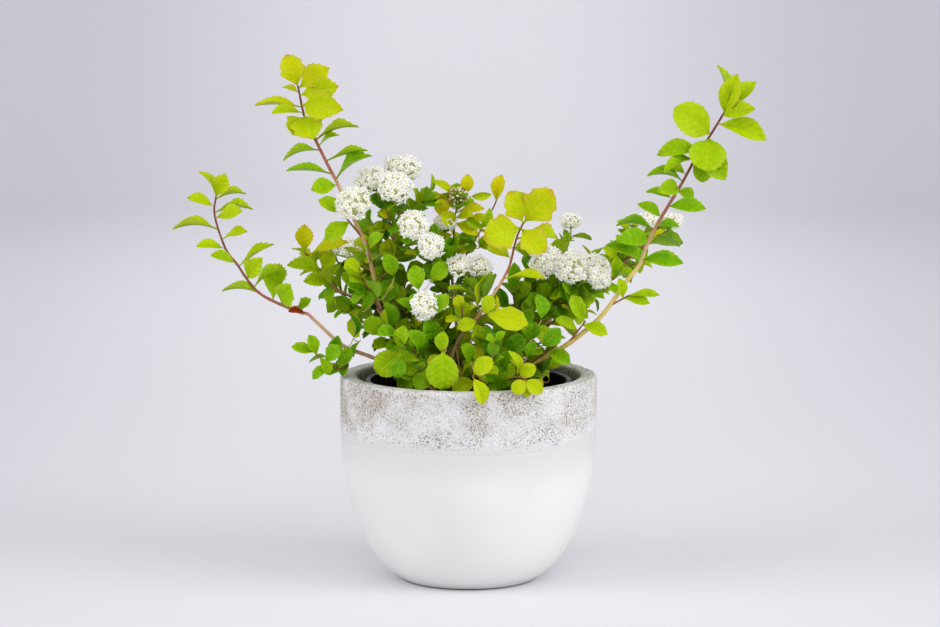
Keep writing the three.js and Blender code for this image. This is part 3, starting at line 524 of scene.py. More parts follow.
# Canes that stand free at the front, and the stretch of each that shows.
OPEN_CANES = {
    "cane_gold": (0.3, 1), "cane_left_tall": (0.5, 1), "cane_right": (0.3, 1), "cane_left_low": (0.45, 1),
}
VIEW_SLOPE = 0.13  # how steeply the viewer looks down


def hides_a_cane(place, half, canes=OPEN_CANES):
    """True for a leaf that would cover one of the canes that stand free at the front."""
    for name in canes:
        low, high = OPEN_CANES[name]
        for k in range(13):
            spot = stems[name].at(blend(low, high, k / 12))
            rise = place.z - spot.z - (spot.y - place.y) * VIEW_SLOPE
            if place.y < spot.y and math.hypot(place.x - spot.x, rise) < half:
                return True
    return False


def add_leaf(group, base, along, face, length, width, tone, large, forced=False, round_blade=False):
    """Notes a leaf for its group. Unless it is forced, it keeps clear of the heads, free canes and pots."""
    if not forced:
        if hides_a_cane(base + along * length * 0.5, length * 0.42):
            return
        if not clear_of_flowers(base, along, length):
            return
        for _ in range(4):
            if clear_of_pots(base + along * length):
                break
            along = (along + Vector((0, 0, 0.5))).normalized()
            face = square_to(along, face)
        else:
            return
    broad = width / length > BROAD_LEAF
    if large:
        kind = ((ROUND if broad else LONG_SMOOTH) if round_blade else (LOBED_BROAD if broad else NARROW))
        kind += leaf_rng.randrange(2)
    else:
        kind = leaf_rng.randrange(len(SMALL_SHAPES))
    leaf_points[group].append((base, along, face, (length, width, length), tone, kind))


def listed(group, stem, leaves, tone_at, large, round_blade=False):
    """The leaves that a table lists. Their rolls turn the upper faces upwards on both sides of a stem."""
    for share, bearing, lean, length, width, roll in leaves:
        along = heading(bearing, lean)
        face = rolled_face(along, roll if along.x < 0 else -roll)
        add_leaf(group, stem.at(min(share, 1 - 0.8 / stem.length)), along, face, length, width,
                 tone_at(share) + leaf_rng.uniform(-0.05, 0.05), large, True, round_blade)


def spread(group, stem, count, tone, first=0.15, size=22, rise=52):
    """Leaves round a shoot, one after another, which grow smaller and brighter towards its end."""
    start = leaf_rng.uniform(0, math.tau)
    for i in range(count):
        share = first + (1 - first) * (i + 0.5) / count
        tangent = stem.tangent(share)
        side = turned_about(square_to(tangent, Vector((0.3, -1, 0.2))), tangent, start + i * GOLDEN_ANGLE)
        climb = math.radians(rise * (1.15 - 0.45 * share) + leaf_rng.uniform(-8, 8))
        along = (tangent * math.cos(climb) + side * math.sin(climb) + Vector((0, 0, 0.12))).normalized()
        face = square_to(along, tangent + Vector((0, -0.35, 0.35)))
        face = turned_about(face, along, leaf_rng.uniform(-0.5, 0.5))
        length = size * (1.1 - 0.4 * share) * leaf_rng.uniform(0.7, 1.22)
        add_leaf(group, stem.at(share), along, face, length, length * leaf_rng.uniform(0.55, 0.8),
                 tone + 0.22 * share + leaf_rng.uniform(-0.2, 0.18), large=False)


for name, shoot in LEADERS.items():
    low, high = shoot["tones"]
    listed("gold" if name == "shoot_gold" else "leaders", stems[name], shoot["leaves"],
           lambda share: blend(low, high, share), True, shoot.get("round_blade", False))
spread("leaders", stems["shoot_left_small"], 7, 0.5, first=0.0, size=22, rise=60)
for name, (parent, share, points, tone, leaves) in SIDE_SHOOTS.items():
    if isinstance(leaves, int):
        spread("side", stems[name], leaves + 3, tone)
    else:
        listed("side", stems[name], leaves, lambda share: tone + 0.1 * share, large=False)
for name, (points, tone, leaves) in BASAL_SHOOTS.items():
    listed("basal", stems[name], leaves, lambda share: tone + 0.1 * share, large=True, round_blade=True)

# Spurs along the canes, and short shoots out of the soil round the crown.
spur_rng = random.Random(5)
spurs = []
for cane_name, (low, high, tone) in SPURRED.items():
    cane = stems[cane_name]
    count = round((high - low) * cane.length / SPUR_SPACING)
    for i in range(count):
        share = blend(low, high, (i + 0.5) / count)
        tangent = cane.tangent(share)
        side = turned_about(square_to(tangent, Vector((1, -0.4, 0))), tangent, i * GOLDEN_ANGLE)
        reach = spur_rng.uniform(10, 27)
        start = cane.at(share) + side * cane.radius(share) * 0.5
        elbow = start + (side + tangent * 0.5).normalized() * reach * 0.5
        tip = elbow + (side * 0.7 + tangent * 0.6 + Vector((0, 0, 0.5))).normalized() * reach * 0.6
        if not clear_of_pots(tip):
            continue
        spur = Stem([start, elbow, tip], (0.7, 0.45), (0.5, 0.7))
        spurs.append(spur)
        spread("side", spur, spur_rng.randrange(4, 7), tone + 0.12, first=0.1,
               size=spur_rng.uniform(17, 24), rise=58)
for i in range(CROWN_SHOOTS):
    turn = i * GOLDEN_ANGLE + 0.4
    foot = circle_point(20 + 36 * math.sqrt((i + 0.5) / CROWN_SHOOTS), turn)
    height = spur_rng.uniform(14, 40) * (1.15 if foot.y < 0 else 0.9)
    tip = foot * 1.12 + Vector((spur_rng.uniform(-6, 6), spur_rng.uniform(-6, 6), height))
    shoot = Stem([foot * 0.8 - Vector((0, 0, 8)), foot, blend(foot, tip, 0.5) + Vector((0, 0, 3)), tip],
                 (0.8, 0.5), (0.3, 0.6))
    spurs.append(shoot)
    spread("basal", shoot, 7, 0.32, first=0.35, size=23, rise=58)

# The stalks that carry the flower heads, each with a ruff of leaves below the head.
peduncles = []
for parent, share, middle, radius, facing in [*FLOWER_HEADS.values(), BUD_HEAD]:
    up, centre = Vector(facing).normalized(), Vector(middle)
    neck, before = centre - up * 0.72 * radius, centre - up * 1.3 * radius
    start = branch_start(stems[parent], share, before)
    peduncle = Stem([start, blend(start, before, 0.6), before, neck, neck + up * 0.3 * radius], (0.75, 0.6),
                    (0.35, 0.1))
    peduncles.append(peduncle)
    spread("side", peduncle, max(5, round(peduncle.length / 4.5)), 0.36, first=0.05, size=19, rise=66)

# Single leaves at the front, each on a leaf stalk of its own from the nearest stem:
# middle, bearing, lean, length, width, roll and tone. Each is grown somewhat wild and a little smaller.
FRONT_LEAVES = [
    ((17, -45, 41), 80, 10, 22, 18, 10, 0.28), ((34, -40, 41), 60, 10, 20, 17, 15, 0.3),
    ((-41, -52, 43), 110, 10, 28, 20, 15, 0.45), ((-11, -58, 46), 75, 5, 21, 14, 20, 0.6),
    ((-1, -60, 37), 100, 15, 19, 15, 5, 0.48), ((-51, -56, 26), 250, 10, 18, 14, 10, 0.42),
    ((-34, -62, 25), 140, 5, 18, 12, 150, 0.5), ((20, -66, 19), 320, 10, 22, 17, 20, 0.4),
    ((-70, -20, 78), 100, 5, 21, 15, 160, 0.45), ((-28, -40, 52), 95, 10, 24, 17, 15, 0.4),
    ((46, -36, 50), 100, 10, 20, 15, 15, 0.35),
    ((-58, -44, 48), 150, 10, 24, 17, 15, 0.42), ((28, -50, 30), 250, 10, 20, 16, 10, 0.35),
    ((-20, -44, 70), 70, 10, 21, 15, 15, 0.5), ((-46, -38, 66), 120, 5, 22, 16, 20, 0.45),
    ((-60, -30, 60), 80, 5, 24, 17, 15, 0.42),
    ((-38, -30, 88), 100, 5, 22, 16, 15, 0.5), ((-58, -20, 96), 130, 5, 22, 15, 20, 0.5),
    ((60, -30, 44), 60, 10, 22, 16, 15, 0.38), ((52, -26, 66), 110, 5, 22, 16, 10, 0.42),
    ((-22, -26, 92), 60, 5, 20, 15, 15, 0.5), ((-78, -10, 70), 100, 5, 22, 15, 20, 0.48),
    ((-98, -16, 37), 60, 10, 19, 13, 20, 0.35), ((-86, -14, 50), 82, 5, 21, 12, 30, 0.3),
    ((-110, -18, 26), 200, 10, 17, 10, 30, 0.4), ((-82, -16, 34), 250, 15, 17, 12, 20, 0.38),
    ((-92, -18, 25), 190, 10, 17, 10, 30, 0.42), ((10, 0, 82), 70, 10, 22, 15, 20, 0.4),
    ((25, -4, 70), 110, 15, 22, 16, 10, 0.36), ((32, 4, 86), 60, 5, 22, 15, 20, 0.4),
    ((14, 6, 112), 60, 10, 22, 13, 30, 0.6), ((0, 6, 112), 140, 10, 20, 14, 20, 0.45),
    ((-16, 2, 106), 160, 10, 22, 15, 20, 0.42), ((40, -6, 56), 40, 10, 22, 16, 15, 0.4),
    ((56, 28, 7), 120, 10, 14, 9, 30, 1.0),
]
# Leaves round the bud head, in the same order, which keep closer to these angles.
BUD_LEAVES = [
    ((-1, 12, 153), 86, 0, 17, 12, 10, 0.93), ((-19, 10, 150), 142, 0, 22, 9, 20, 0.78),
    ((9, 8, 145), 5, 0, 18, 8, 30, 0.72), ((4, 4, 127), 325, 0, 20, 9, 30, 0.6),
    ((-20, 8, 136), 100, 0, 15, 14, 10, 0.95), ((12, 6, 128), 60, 5, 20, 10, 30, 0.6),
]
for order, (middle, bearing, lean, length, width, roll, tone) in enumerate([*FRONT_LEAVES, *BUD_LEAVES]):
    wild = 1 if order < len(FRONT_LEAVES) else 0.25
    along = heading(bearing + wild * leaf_rng.uniform(-25, 25), lean + wild * leaf_rng.uniform(-25, 30))
    roll += wild * leaf_rng.uniform(-42, 42)
    face = rolled_face(along, roll, Vector((0, -1, 0.35)).normalized())
    length, width = length * 0.9, width * 0.84
    base = Vector(middle) - along * length * 0.5
    holder = min(
        (stem.at(k / 12) for stem in [*stems.values(), *spurs] for k in range(1, 12)),
        key=lambda place: (place - base).length)
    spurs.append(Stem([holder, blend(holder, base, 0.6) + Vector((0, 0, -1.5)), base + along * 0.6],
                      (0.5, 0.35), (0.2, 0.2)))
    if not hides_a_cane(Vector(middle), length * 0.3, ("cane_gold",)):
        add_leaf("basal", base, along, face, length, width, tone - 0.02, True, True, True)

old_along = heading(OLD_LEAF["bearing"], OLD_LEAF["lean"])
old_face = rolled_face(old_along, OLD_LEAF["roll"])
add_leaf("old", stems[OLD_LEAF["stem"]].at(OLD_LEAF["at"]), old_along, old_face, OLD_LEAF["length"],
         OLD_LEAF["width"], 0.5, large=True, forced=True)

# ------------------------------------------------------------------ node trees

FLOAT, INT, VECTOR = "NodeSocketFloat", "NodeSocketInt", "NodeSocketVector"
GEOMETRY, MATERIAL, COLLECTION = "NodeSocketGeometry", "NodeSocketMaterial", "NodeSocketCollection"


class Tree:
    """A node tree under construction, whose nodes are joined by keyword."""

    def __init__(self, tree):
        self.tree = tree

    def add(self, kind, inputs=None, **settings):
        node = self.tree.nodes.new(kind)
        for key, value in settings.items():
            setattr(node, key, value)
        self.feed(node, inputs or {})
        return node

    def feed(self, node, inputs):
        """Joins a node's inputs to other sockets, or gives them plain values."""
        for key, value in inputs.items():
            if isinstance(value, bpy.types.NodeSocket):
                self.join(value, node.inputs[key])
            else:
                node.inputs[key].default_value = value

    def join(self, source, target):
        self.tree.links.new(source, target)

    def math(self, operation, *values):
        return self.add("ShaderNodeMath", dict(enumerate(values)), operation=operation).outputs[0]

    def vector(self, operation, *values):
        found = self.add("ShaderNodeVectorMath", dict(enumerate(values)), operation=operation)
        return found.outputs["Value" if operation in ("DISTANCE", "LENGTH") else "Vector"]

    def scaled(self, vector, factor):
        return self.add("ShaderNodeVectorMath", {0: vector, "Scale": factor}, operation="SCALE").outputs[0]


class Group(Tree):
    """A node group with named inputs and outputs."""

    def __init__(self, name, kind, inputs, outputs):
        super().__init__(bpy.data.node_groups.new(name, kind))
        for socket, socket_type, value in inputs:
            made = self.tree.interface.new_socket(socket, in_out="INPUT", socket_type=socket_type)
            if value is not None:
                made.default_value = value
        for socket, socket_type in outputs:
            self.tree.interface.new_socket(socket, in_out="OUTPUT", socket_type=socket_type)
        self.given = self.tree.nodes.new("NodeGroupInput").outputs
        self.result = self.tree.nodes.new("NodeGroupOutput").inputs

    def give(self, **results):
        for name, source in results.items():
            self.join(source, self.result[name])
        return self.tree


def growth_tree(name, *inputs):
    """A Geometry Nodes tree that makes painted pieces out of a source mesh."""
    return Group(name, "GeometryNodeTree",
                 [("Geometry", GEOMETRY, None), *inputs, ("Material", MATERIAL, None)],
                 [("Geometry", GEOMETRY)])


def finish_tree(tree, geometry):
    """The last steps of every growth tree: real geometry, smooth faces, and the material."""
    real = tree.add("GeometryNodeRealizeInstances", {"Geometry": geometry})
    smooth = tree.add("GeometryNodeSetShadeSmooth", {"Geometry": real.outputs[0]})
    painted = tree.add("GeometryNodeSetMaterial",
                       {"Geometry": smooth.outputs[0], "Material": tree.given["Material"]})
    return tree.give(Geometry=painted.outputs[0])


def attribute(tree, name, kind="FLOAT_VECTOR"):
    return tree.add("GeometryNodeInputNamedAttribute", {"Name": name}, data_type=kind).outputs["Attribute"]


def given_shapes(tree):
    return tree.add("GeometryNodeCollectionInfo", {
        "Collection": tree.given["Shapes"], "Separate Children": True, "Reset Children": True}).outputs[0]


def spread_points(tree, density):
    """Points spread evenly over the source's faces, and the faces' normals there."""
    return tree.add("GeometryNodeDistributePointsOnFaces", {
        "Mesh": tree.given["Geometry"], "Distance Min": tree.given["Spacing"], "Density Max": density,
        "Seed": tree.given["Seed"]}, distribute_method="POISSON").outputs


def stem_tree():
    """Round stems along edges, as thick as each point says, with knobbly bark."""
    tree = growth_tree("round_stems", ("Sides", INT, 10), ("Bark Relief", FLOAT, 0.12 * MM))
    curve = tree.add("GeometryNodeMeshToCurve", {"Mesh": tree.given["Geometry"]})
    ring = tree.add("GeometryNodeCurvePrimitiveCircle", {"Resolution": tree.given["Sides"], "Radius": 1.0})
    tube = tree.add("GeometryNodeCurveToMesh", {
        "Curve": curve.outputs[0], "Profile Curve": ring.outputs["Curve"],
        "Scale": attribute(tree, "thickness", "FLOAT"), "Fill Caps": True})
    knobs = tree.add("ShaderNodeTexNoise", {"Scale": 420.0, "Detail": 2.0})
    relief = tree.math("MULTIPLY", tree.math("SUBTRACT", knobs.outputs[0], 0.5), tree.given["Bark Relief"])
    offset = tree.scaled(tree.add("GeometryNodeInputNormal").outputs[0], relief)
    rough = tree.add("GeometryNodeSetPosition", {"Geometry": tube.outputs[0], "Offset": offset})
    return finish_tree(tree, rough.outputs[0])


def blade_tree():
    """A blade on each point, turned, sized and picked as the point says."""
    tree = growth_tree("leaf_blades", ("Shapes", COLLECTION, None), ("Size", FLOAT, 1.0))
    turn = tree.add("FunctionNodeAxesToRotation", {
        "Primary Axis": attribute(tree, "along"), "Secondary Axis": attribute(tree, "face")},
        primary_axis="X", secondary_axis="Z")
    blades = tree.add("GeometryNodeInstanceOnPoints", {
        "Points": tree.given["Geometry"], "Instance": given_shapes(tree), "Pick Instance": True,
        "Instance Index": attribute(tree, "kind", "INT"), "Rotation": turn.outputs[0],
        "Scale": tree.scaled(attribute(tree, "size"), tree.given["Size"])})
    return finish_tree(tree, blades.outputs[0])


def scatter_tree(name, spacing, density):
    """Shapes spread evenly over a surface and standing on it, each turned, sized and toned at random."""
    tree = growth_tree(
        name, ("Shapes", COLLECTION, None), ("Spacing", FLOAT, spacing), ("Seed", INT, 3),
        ("Smallest", FLOAT, 0.8), ("Largest", FLOAT, 1.15), ("Tilt", FLOAT, 0.35))
    spots = spread_points(tree, density)

    def chance(kind, low, high, seed):
        low_input, output = {"FLOAT": (2, 1), "FLOAT_VECTOR": (0, 0), "INT": (4, 2)}[kind]
        return tree.add("FunctionNodeRandomValue", {
            low_input: low, low_input + 1: high,
            "Seed": tree.math("ADD", tree.given["Seed"], float(seed))}, data_type=kind).outputs[output]

    def any_way(seed):
        return chance("FLOAT_VECTOR", (-1, -1, -1), (1, 1, 1), seed)

    upright = tree.vector("ADD", spots["Normal"], tree.scaled(any_way(1), tree.given["Tilt"]))
    turn = tree.add("FunctionNodeAxesToRotation", {
        "Primary Axis": upright, "Secondary Axis": any_way(2)}, primary_axis="Z", secondary_axis="X")
    size = tree.add("ShaderNodeMapRange", {
        "Value": chance("FLOAT", 0.0, 1.0, 3), "To Min": tree.given["Smallest"],
        "To Max": tree.given["Largest"]})
    things = tree.add("GeometryNodeInstanceOnPoints", {
        "Points": spots["Points"], "Instance": given_shapes(tree), "Pick Instance": True,
        "Instance Index": chance("INT", 0, 7, 4), "Rotation": turn.outputs[0], "Scale": size.outputs[0]})
    toned = tree.add("GeometryNodeStoreNamedAttribute", {
        "Geometry": things.outputs[0], "Name": "tone", "Value": chance("FLOAT", 0.0, 1.0, 5)},
        data_type="FLOAT", domain="INSTANCE")
    return finish_tree(tree, toned.outputs[0])


def stalk_tree():
    """A fine stalk from each blossom's place back to the hub where its head branches."""
    tree = growth_tree(
        "blossom_stalks", ("Shapes", COLLECTION, None), ("Spacing", FLOAT, BLOSSOM_SPACING * MM),
        ("Seed", INT, 3), ("Thickness", FLOAT, 0.45 * MM))
    back = tree.vector("SUBTRACT", attribute(tree, "hub"), tree.add("GeometryNodeInputPosition").outputs[0])
    turn = tree.add("FunctionNodeAlignRotationToVector", {"Vector": back}, axis="Z")
    size = tree.add("ShaderNodeCombineXYZ", {
        0: tree.given["Thickness"], 1: tree.given["Thickness"], 2: tree.vector("LENGTH", back)})
    stalks = tree.add("GeometryNodeInstanceOnPoints", {
        "Points": spread_points(tree, 300000.0)["Points"], "Instance": given_shapes(tree),
        "Rotation": turn.outputs[0], "Scale": size.outputs[0]})
    return finish_tree(tree, stalks.outputs[0])


def grown(source, tree, name, **inputs):
    """What a tree makes of a source mesh, as a plain piece. The source goes."""
    modifier = source.modifiers.new(tree.name, "NODES")
    modifier.node_group = tree
    wanted = {key.replace("_", " "): value for key, value in inputs.items()}
    for item in tree.interface.items_tree:
        if item.item_type == "SOCKET" and item.in_out == "INPUT" and item.name in wanted:
            modifier[item.identifier] = wanted.pop(item.name)
    assert not wanted, f"{tree.name} has no input {wanted}"
    graph = bpy.context.evaluated_depsgraph_get()
    mesh = bpy.data.meshes.new_from_object(
        source.evaluated_get(graph), preserve_all_data_layers=True, depsgraph=graph)
    mesh.name = name
    bpy.data.objects.remove(source)
    return link(mesh, name)


# ------------------------------------------------------------------ materials


def material(name):
    """A material with a Principled shader, and its tree to build in."""
    made = bpy.data.materials.new(name)
    made.use_nodes = True
    made.node_tree.nodes.clear()
    tree = Tree(made.node_tree)
    shader = tree.add("ShaderNodeBsdfPrincipled")
    output = tree.add("ShaderNodeOutputMaterial")
    tree.join(shader.outputs[0], output.inputs["Surface"])
    return made, tree, shader


def ramp(tree, value, *stops):
    node = tree.add("ShaderNodeValToRGB", {"Fac": value})
    band = node.color_ramp
    while len(band.elements) < len(stops):
        band.elements.new(0.5)
    for element, (position, color) in zip(band.elements, stops):
        element.position = position
        element.color = (*color, 1)
    return node.outputs[0]


def mixed(tree, factor, a, b):
    a, b = ((*color, 1) if isinstance(color, tuple) else color for color in (a, b))
    return tree.add("ShaderNodeMix", {0: factor, 6: a, 7: b}, data_type="RGBA").outputs[2]


def between(tree, value, low, high, to_low=0.0, to_high=1.0):
    """A soft step: value from low to high, as to_low to to_high."""
    return tree.add("ShaderNodeMapRange", {
        "Value": value, "From Min": low, "From Max": high, "To Min": to_low, "To Max": to_high},
        interpolation_type="SMOOTHSTEP").outputs[0]


def noise_value(tree, where, scale, detail=3.0, rough=0.5):
    return tree.add("ShaderNodeTexNoise", {
        "Vector": where, "Scale": scale, "Detail": detail, "Roughness": rough}).outputs[0]


def object_place(tree):
    return tree.add("ShaderNodeTexCoord").outputs["Object"]


def shade_attribute(tree, name):
    return tree.add("ShaderNodeAttribute", attribute_name=name).outputs["Fac"]


def dress(tree, shader, color, roughness, relief, strength, depth):
    """Gives a shader its colour, its roughness and its relief."""
    raised = tree.add("ShaderNodeBump", {"Height": relief, "Strength": strength, "Distance": depth})
    tree.feed(shader, {"Base Color": color, "Roughness": roughness, "Normal": raised.outputs[0]})


def speckle_group():
    """Fine dark and pale specks of fired clay or of soil: a speck mask, a patch value and a height."""
    tree = Group("speckle", "ShaderNodeTree",
                 [("Place", VECTOR, None), ("Fineness", FLOAT, 900.0), ("Patch Size", FLOAT, 40.0)],
                 [("Specks", FLOAT), ("Patches", FLOAT), ("Height", FLOAT)])
    place, fineness = tree.given["Place"], tree.given["Fineness"]
    cells = tree.add("ShaderNodeTexVoronoi", {"Vector": place, "Scale": fineness}).outputs["Color"]
    fine = noise_value(tree, place, fineness, 3.0, 0.7)
    specks = tree.math("MULTIPLY", tree.add("ShaderNodeSeparateColor", {0: cells}).outputs[0], fine)
    patches = noise_value(tree, place, tree.given["Patch Size"], 5.0, 0.62)
    return tree.give(Specks=specks, Patches=patches,
                     Height=tree.math("ADD", fine, tree.math("MULTIPLY", specks, 0.6)))


def vein_group():
    """A leaf's midrib and side veins, its margin, and the relief between the veins."""
    tree = Group("leaf_veins", "ShaderNodeTree",
                 [("Along And Across", VECTOR, None), ("Vein Pairs", FLOAT, 6.0)],
                 [("Ribs", FLOAT), ("Margin", FLOAT), ("Relief", FLOAT)])

    def from_middle(value):
        """0 at a half, and 1 at 0 and at 1."""
        return tree.math("MULTIPLY", tree.math("ABSOLUTE", tree.math("SUBTRACT", value, 0.5)), 2.0)

    split = tree.add("ShaderNodeSeparateXYZ", {0: tree.given["Along And Across"]}).outputs
    along, across = split[0], from_middle(split[1])
    rib = between(tree, across, 0.02, 0.11, 1.0, 0.0)
    phase = tree.math("SUBTRACT", tree.math("MULTIPLY", along, tree.given["Vein Pairs"]),
                      tree.math("MULTIPLY", across, 1.5))
    wave = from_middle(tree.math("FRACT", phase))
    side = tree.math("MULTIPLY", between(tree, wave, 0.78, 1.0), between(tree, across, 0.35, 1.0, 1.0, 0.15))
    ribs = tree.math("MAXIMUM", rib, tree.math("MULTIPLY", side, 0.6))
    edge, tip = between(tree, across, 0.74, 1.02), between(tree, along, 0.86, 1.02)
    return tree.give(Ribs=ribs, Margin=tree.math("MAXIMUM", edge, tip),
                     Relief=tree.math("SUBTRACT", tree.math("MULTIPLY", wave, -0.6), ribs))


def grain_group():
    """Bark: streaks along the stem, pale breathing pores, and a height."""
    tree = Group("bark_grain", "ShaderNodeTree",
                 [("Place", VECTOR, None), ("Scale", FLOAT, 300.0)],
                 [("Streaks", FLOAT), ("Pores", FLOAT), ("Height", FLOAT)])
    place, scale = tree.given["Place"], tree.given["Scale"]
    streaks = noise_value(tree, tree.vector("MULTIPLY", place, (1.0, 1.0, 0.28)), scale, 4.0, 0.6)
    spots = tree.add("ShaderNodeTexVoronoi", {"Vector": place, "Scale": tree.math("MULTIPLY", scale, 1.3)})
    pores = between(tree, spots.outputs["Distance"], 0.1, 0.24, 1.0, 0.0)
    return tree.give(Streaks=streaks, Pores=pores,
                     Height=tree.math("ADD", streaks, tree.math("MULTIPLY", pores, 0.5)))


speckle, veins, grain = speckle_group(), vein_group(), grain_group()


def use_group(tree, group, inputs):
    return tree.add("ShaderNodeGroup", inputs, node_tree=group).outputs


def leaf_material(name, lowest, low, middle, high, margin, gold_from, vein_pairs, roughness):
    """A leaf from its darkest to its most golden tone, with lighter veins and a blushed margin."""
    made, tree, shader = material(name)
    place = object_place(tree)
    where = tree.add("ShaderNodeUVMap", uv_map="UVMap").outputs[0]
    pattern = use_group(tree, veins, {"Along And Across": where, "Vein Pairs": vein_pairs})
    mottle = noise_value(tree, place, 260.0, 3.0)
    tone = tree.math("ADD", shade_attribute(tree, "tone"),
                     tree.math("MULTIPLY", tree.math("SUBTRACT", mottle, 0.42), 0.3))
    # The tone follows the relief, darker where the veins sink in: painted shade.
    tone = tree.math("ADD", tone, tree.math("MULTIPLY", pattern["Relief"], 0.06))
    color = ramp(tree, tone, (0.15, lowest), (0.42, low), (0.68, middle), (1.0, high))
    color = mixed(tree, tree.math("MULTIPLY", pattern["Ribs"], 0.2), color, (0.80, 0.86, 0.04))
    golden = between(tree, tone, gold_from, gold_from + 0.25, 0.0, 0.6)
    blush = tree.math("MULTIPLY", pattern["Margin"], golden)
    color = mixed(tree, blush, color, margin)
    color = mixed(tree, tree.math("MULTIPLY", shade_attribute(tree, "under"), 0.32), color, (0.5, 0.66, 0.12))
    tree.feed(shader, {"Specular IOR Level": 0.15, "Subsurface Weight": 0.22,
                       "Subsurface Radius": (0.6, 1.0, 0.1), "Subsurface Scale": 1.2 * MM})
    dress(tree, shader, color, between(tree, mottle, 0.3, 0.7, roughness - 0.06, roughness + 0.08),
          pattern["Relief"], 0.7, 0.35 * MM)
    return made


GREENS = dict(lowest=(0.05, 0.18, 0.002), low=(0.18, 0.42, 0.001), middle=(0.46, 0.59, 0.001),
              high=(0.68, 0.60, 0.002), margin=(0.66, 0.24, 0.03))
side_leaf = leaf_material("green_leaf", **GREENS, gold_from=0.78, vein_pairs=5.0, roughness=0.46)
bright_leaf = leaf_material("bright_leaf", **GREENS, gold_from=0.62, vein_pairs=6.0, roughness=0.44)
golden_leaf = leaf_material("golden_leaf", **GREENS, gold_from=0.5, vein_pairs=6.0, roughness=0.42)
old_leaf = leaf_material("red_leaf", lowest=(0.14, 0.008, 0.004), low=(0.27, 0.008, 0.006),
                         middle=(0.32, 0.012, 0.008), high=(0.4, 0.03, 0.015), margin=(0.16, 0.008, 0.006),
                         gold_from=0.4, vein_pairs=5.0, roughness=0.45)


def bark_material():
    made, tree, shader = material("bark")
    youth = shade_attribute(tree, "youth")
    pattern = use_group(tree, grain, {"Place": object_place(tree), "Scale": 320.0})
    color = ramp(tree, youth, (0.05, (0.80, 0.67, 0.17)), (0.28, (0.84, 0.55, 0.33)),
                 (0.55, (0.44, 0.17, 0.10)), (1.0, (0.20, 0.036, 0.022)))
    color = mixed(tree, between(tree, pattern["Streaks"], 0.4, 0.7, 0.0, 0.25), color, (0.25, 0.15, 0.07))
    color = mixed(tree, tree.math("MULTIPLY", pattern["Pores"], 0.55), color, (0.66, 0.52, 0.36))
    dress(tree, shader, color, between(tree, pattern["Streaks"], 0.3, 0.7, 0.5, 0.75),
          pattern["Height"], 0.45, 0.2 * MM)
    return made


def glowing_petal_material(name, eye):
    """White petals round an eye of another colour, with cream stamens. They glow a little in their own
    colour, which is painted light.
    """
    made, tree, shader = material(name)
    part = shade_attribute(tree, "part")
    shade = noise_value(tree, object_place(tree), 700.0, 2.0)
    white = mixed(tree, shade, (0.94, 0.93, 0.87), (1.0, 0.995, 0.96))
    color = mixed(tree, between(tree, part, 0.55, 0.9), white, eye)
    color = mixed(tree, between(tree, part, 1.2, 1.8), color, (0.80, 0.70, 0.36))
    # The emission makes the petals glow in their own colour: painted light.
    tree.feed(shader, {"Emission Color": color, "Emission Strength": 0.16, "Subsurface Weight": 0.6,
                       "Subsurface Radius": (1.0, 0.97, 0.85), "Subsurface Scale": 3 * MM})
    dress(tree, shader, color, between(tree, shade, 0.2, 0.8, 0.55, 0.75), shade, 0.2, 0.1 * MM)
    return made


def bud_material():
    made, tree, shader = material("bud")
    shade = noise_value(tree, object_place(tree), 900.0, 2.0)
    color = ramp(tree, shade_attribute(tree, "tone"), (0.1, (0.32, 0.19, 0.07)),
                 (0.35, (0.60, 0.46, 0.20)), (0.6, (0.85, 0.78, 0.48)), (1.0, (0.98, 0.95, 0.80)))
    color = mixed(tree, tree.math("MULTIPLY", shade, 0.25), color, (0.30, 0.30, 0.07))
    dress(tree, shader, color, between(tree, shade, 0.2, 0.8, 0.5, 0.7), shade, 0.3, 0.1 * MM)
    return made


def stalk_material():
    made, tree, shader = material("green_stalk")
    shade = noise_value(tree, object_place(tree), 500.0, 2.0)
    color = mixed(tree, shade, (0.20, 0.30, 0.03), (0.45, 0.52, 0.12))
    dress(tree, shader, color, between(tree, shade, 0.2, 0.8, 0.5, 0.65), shade, 0.3, 0.1 * MM)
    return made


def soil_material():
    made, tree, shader = material("potting_soil")
    place = object_place(tree)
    pattern = use_group(tree, speckle, {"Place": place, "Fineness": 700.0, "Patch Size": 90.0})
    color = ramp(tree, shade_attribute(tree, "tone"), (0.0, (0.014, 0.009, 0.006)),
                 (0.45, (0.035, 0.02, 0.012)), (0.78, (0.10, 0.05, 0.028)), (1.0, (0.24, 0.13, 0.07)))
    color = mixed(tree, between(tree, pattern["Patches"], 0.35, 0.7, 0.0, 0.6), color, (0.02, 0.012, 0.008))
    dress(tree, shader, color, between(tree, pattern["Specks"], 0.1, 0.7, 0.75, 0.98),
          pattern["Height"], 0.7, 0.5 * MM)
    return made


def plastic_material():
    made, tree, shader = material("black_plastic")
    place = object_place(tree)
    scuffs = noise_value(tree, place, 60.0, 6.0, 0.65)
    color = mixed(tree, between(tree, scuffs, 0.5, 0.75, 0.0, 0.5),
                  (0.014, 0.014, 0.014), (0.06, 0.055, 0.05))
    dress(tree, shader, color, between(tree, scuffs, 0.35, 0.7, 0.28, 0.5),
          noise_value(tree, place, 1500.0, 2.0), 0.15, 0.1 * MM)
    return made


